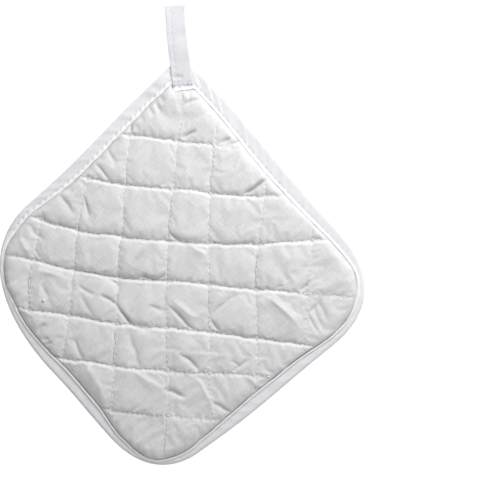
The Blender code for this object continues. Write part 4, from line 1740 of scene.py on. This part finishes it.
@dataclass
class Studio:
    """The pale floor, the soft lights and the camera straight above the face."""

    frame_width: float = 300.0
    view_centre: tuple[float, float] = (40.5, -3.0)
    view_height: float = 3.0
    lens: float = 180.0
    sensor: float = 36.0
    floor_size: float = 6.0
    ambient: float = 0.24
    floor_tone: float = 0.94
    floor_glow: float = 0.6

    def build(self) -> None:
        """Build all of it."""
        self._floor()
        self._camera()
        for light in LIGHTS:
            self._light(light)
        world = bpy.data.worlds.new("studio")
        world.use_nodes = True
        background = world.node_tree.nodes["Background"]
        background.inputs["Color"].default_value = (1, 1, 1, 1)
        background.inputs["Strength"].default_value = self.ambient
        scene = bpy.context.scene
        scene.world = world
        scene.view_settings.view_transform = "Standard"

    def _floor(self) -> None:
        """A plain pale floor."""
        shape = bmesh.new()
        bmesh.ops.create_grid(shape, x_segments=1, y_segments=1, size=self.floor_size / 2)
        floor = add_object("floor", shape)
        sheet = NodeSheet("pale_floor")
        sheet.feed(
            sheet.shader,
            {
                "Base Color": (self.floor_tone, self.floor_tone, self.floor_tone, 1),
                "Roughness": 0.9,
                "Emission Color": (1, 1, 1, 1),
                "Emission Strength": self.floor_glow,
            },
        )
        floor.data.materials.append(sheet.material)

    def _camera(self) -> None:
        """A camera that looks straight down on the face, at the photograph's framing."""
        data = bpy.data.cameras.new("camera")
        data.lens, data.sensor_width = self.lens, self.sensor
        data.clip_start, data.clip_end = 0.01, 20.0
        camera = bpy.data.objects.new("camera", data)
        away = self.frame_width * self.lens / self.sensor + self.view_height
        camera.location = Vector((*self.view_centre, away)) * MM
        bpy.context.scene.collection.objects.link(camera)
        bpy.context.scene.camera = camera

    def _light(self, light: Light) -> None:
        """A soft square light, turned to the holder."""
        data = bpy.data.lights.new(light.name, "AREA")
        data.size, data.energy = light.size, light.power
        lamp = bpy.data.objects.new(light.name, data)
        lamp.location = light.place
        lamp.rotation_euler = (-Vector(light.place)).to_track_quat("-Z", "Y").to_euler()
        bpy.context.scene.collection.objects.link(lamp)


def main() -> None:
    """Build and dress every piece, then the studio."""
    logging.basicConfig(level=logging.INFO, format="%(name)s: %(message)s")
    # Each finish's second colour is the painted shade that the shade attribute mixes in; where the
    # attribute is low, the first colour shows as a painted highlight.
    face_cloth = PlainWeave("quilted_cloth", (0.778, 0.781, 0.782), (0.50, 0.49, 0.48)).build()
    back_finish = PlainWeave("plain_cloth", (0.75, 0.75, 0.73), (0.6, 0.6, 0.57), slub=0.6).build()
    tape_finish = PlainWeave(
        "binding_tape",
        (0.87, 0.87, 0.89),
        (0.6, 0.6, 0.63),
        turn=45.0,
        thread=0.36,
        slub=0.3,
        coordinates=Coordinates.TAPE,
    ).build()
    loop_finish = PlainWeave(
        "loop_tape",
        (0.66, 0.66, 0.69),
        (0.5, 0.5, 0.53),
        turn=45.0,
        thread=0.36,
        slub=0.4,
        coordinates=Coordinates.TAPE,
    ).build()
    thread = Thread().build()

    rim = Rim()
    front = QuiltedFront(rim, Quilting())
    face = front.build()
    finish_piece(face, face_cloth, "quilted_cloth", "quilted_front")
    finish_piece(front.sew(face), thread, "quilted_cloth")

    binding = EdgeBinding(rim)
    tape = binding.build()
    finish_piece(tape, tape_finish, "binding_tape", "edge_binding")
    tape_thread = binding.sew(tape)
    finish_piece(tape_thread, thread, "binding_tape")

    back = BackCloth(rim).build()
    finish_piece(back, back_finish, "plain_cloth", "back_cloth")

    loop = HangingLoop()
    strip = loop.build()
    finish_piece(strip, loop_finish, "loop_tape", "hanging_loop")
    loop_thread = loop.sew(strip, tape)
    finish_piece(loop_thread, thread, "loop_tape")

    Studio().build()


if __name__ == "__main__":
    main()
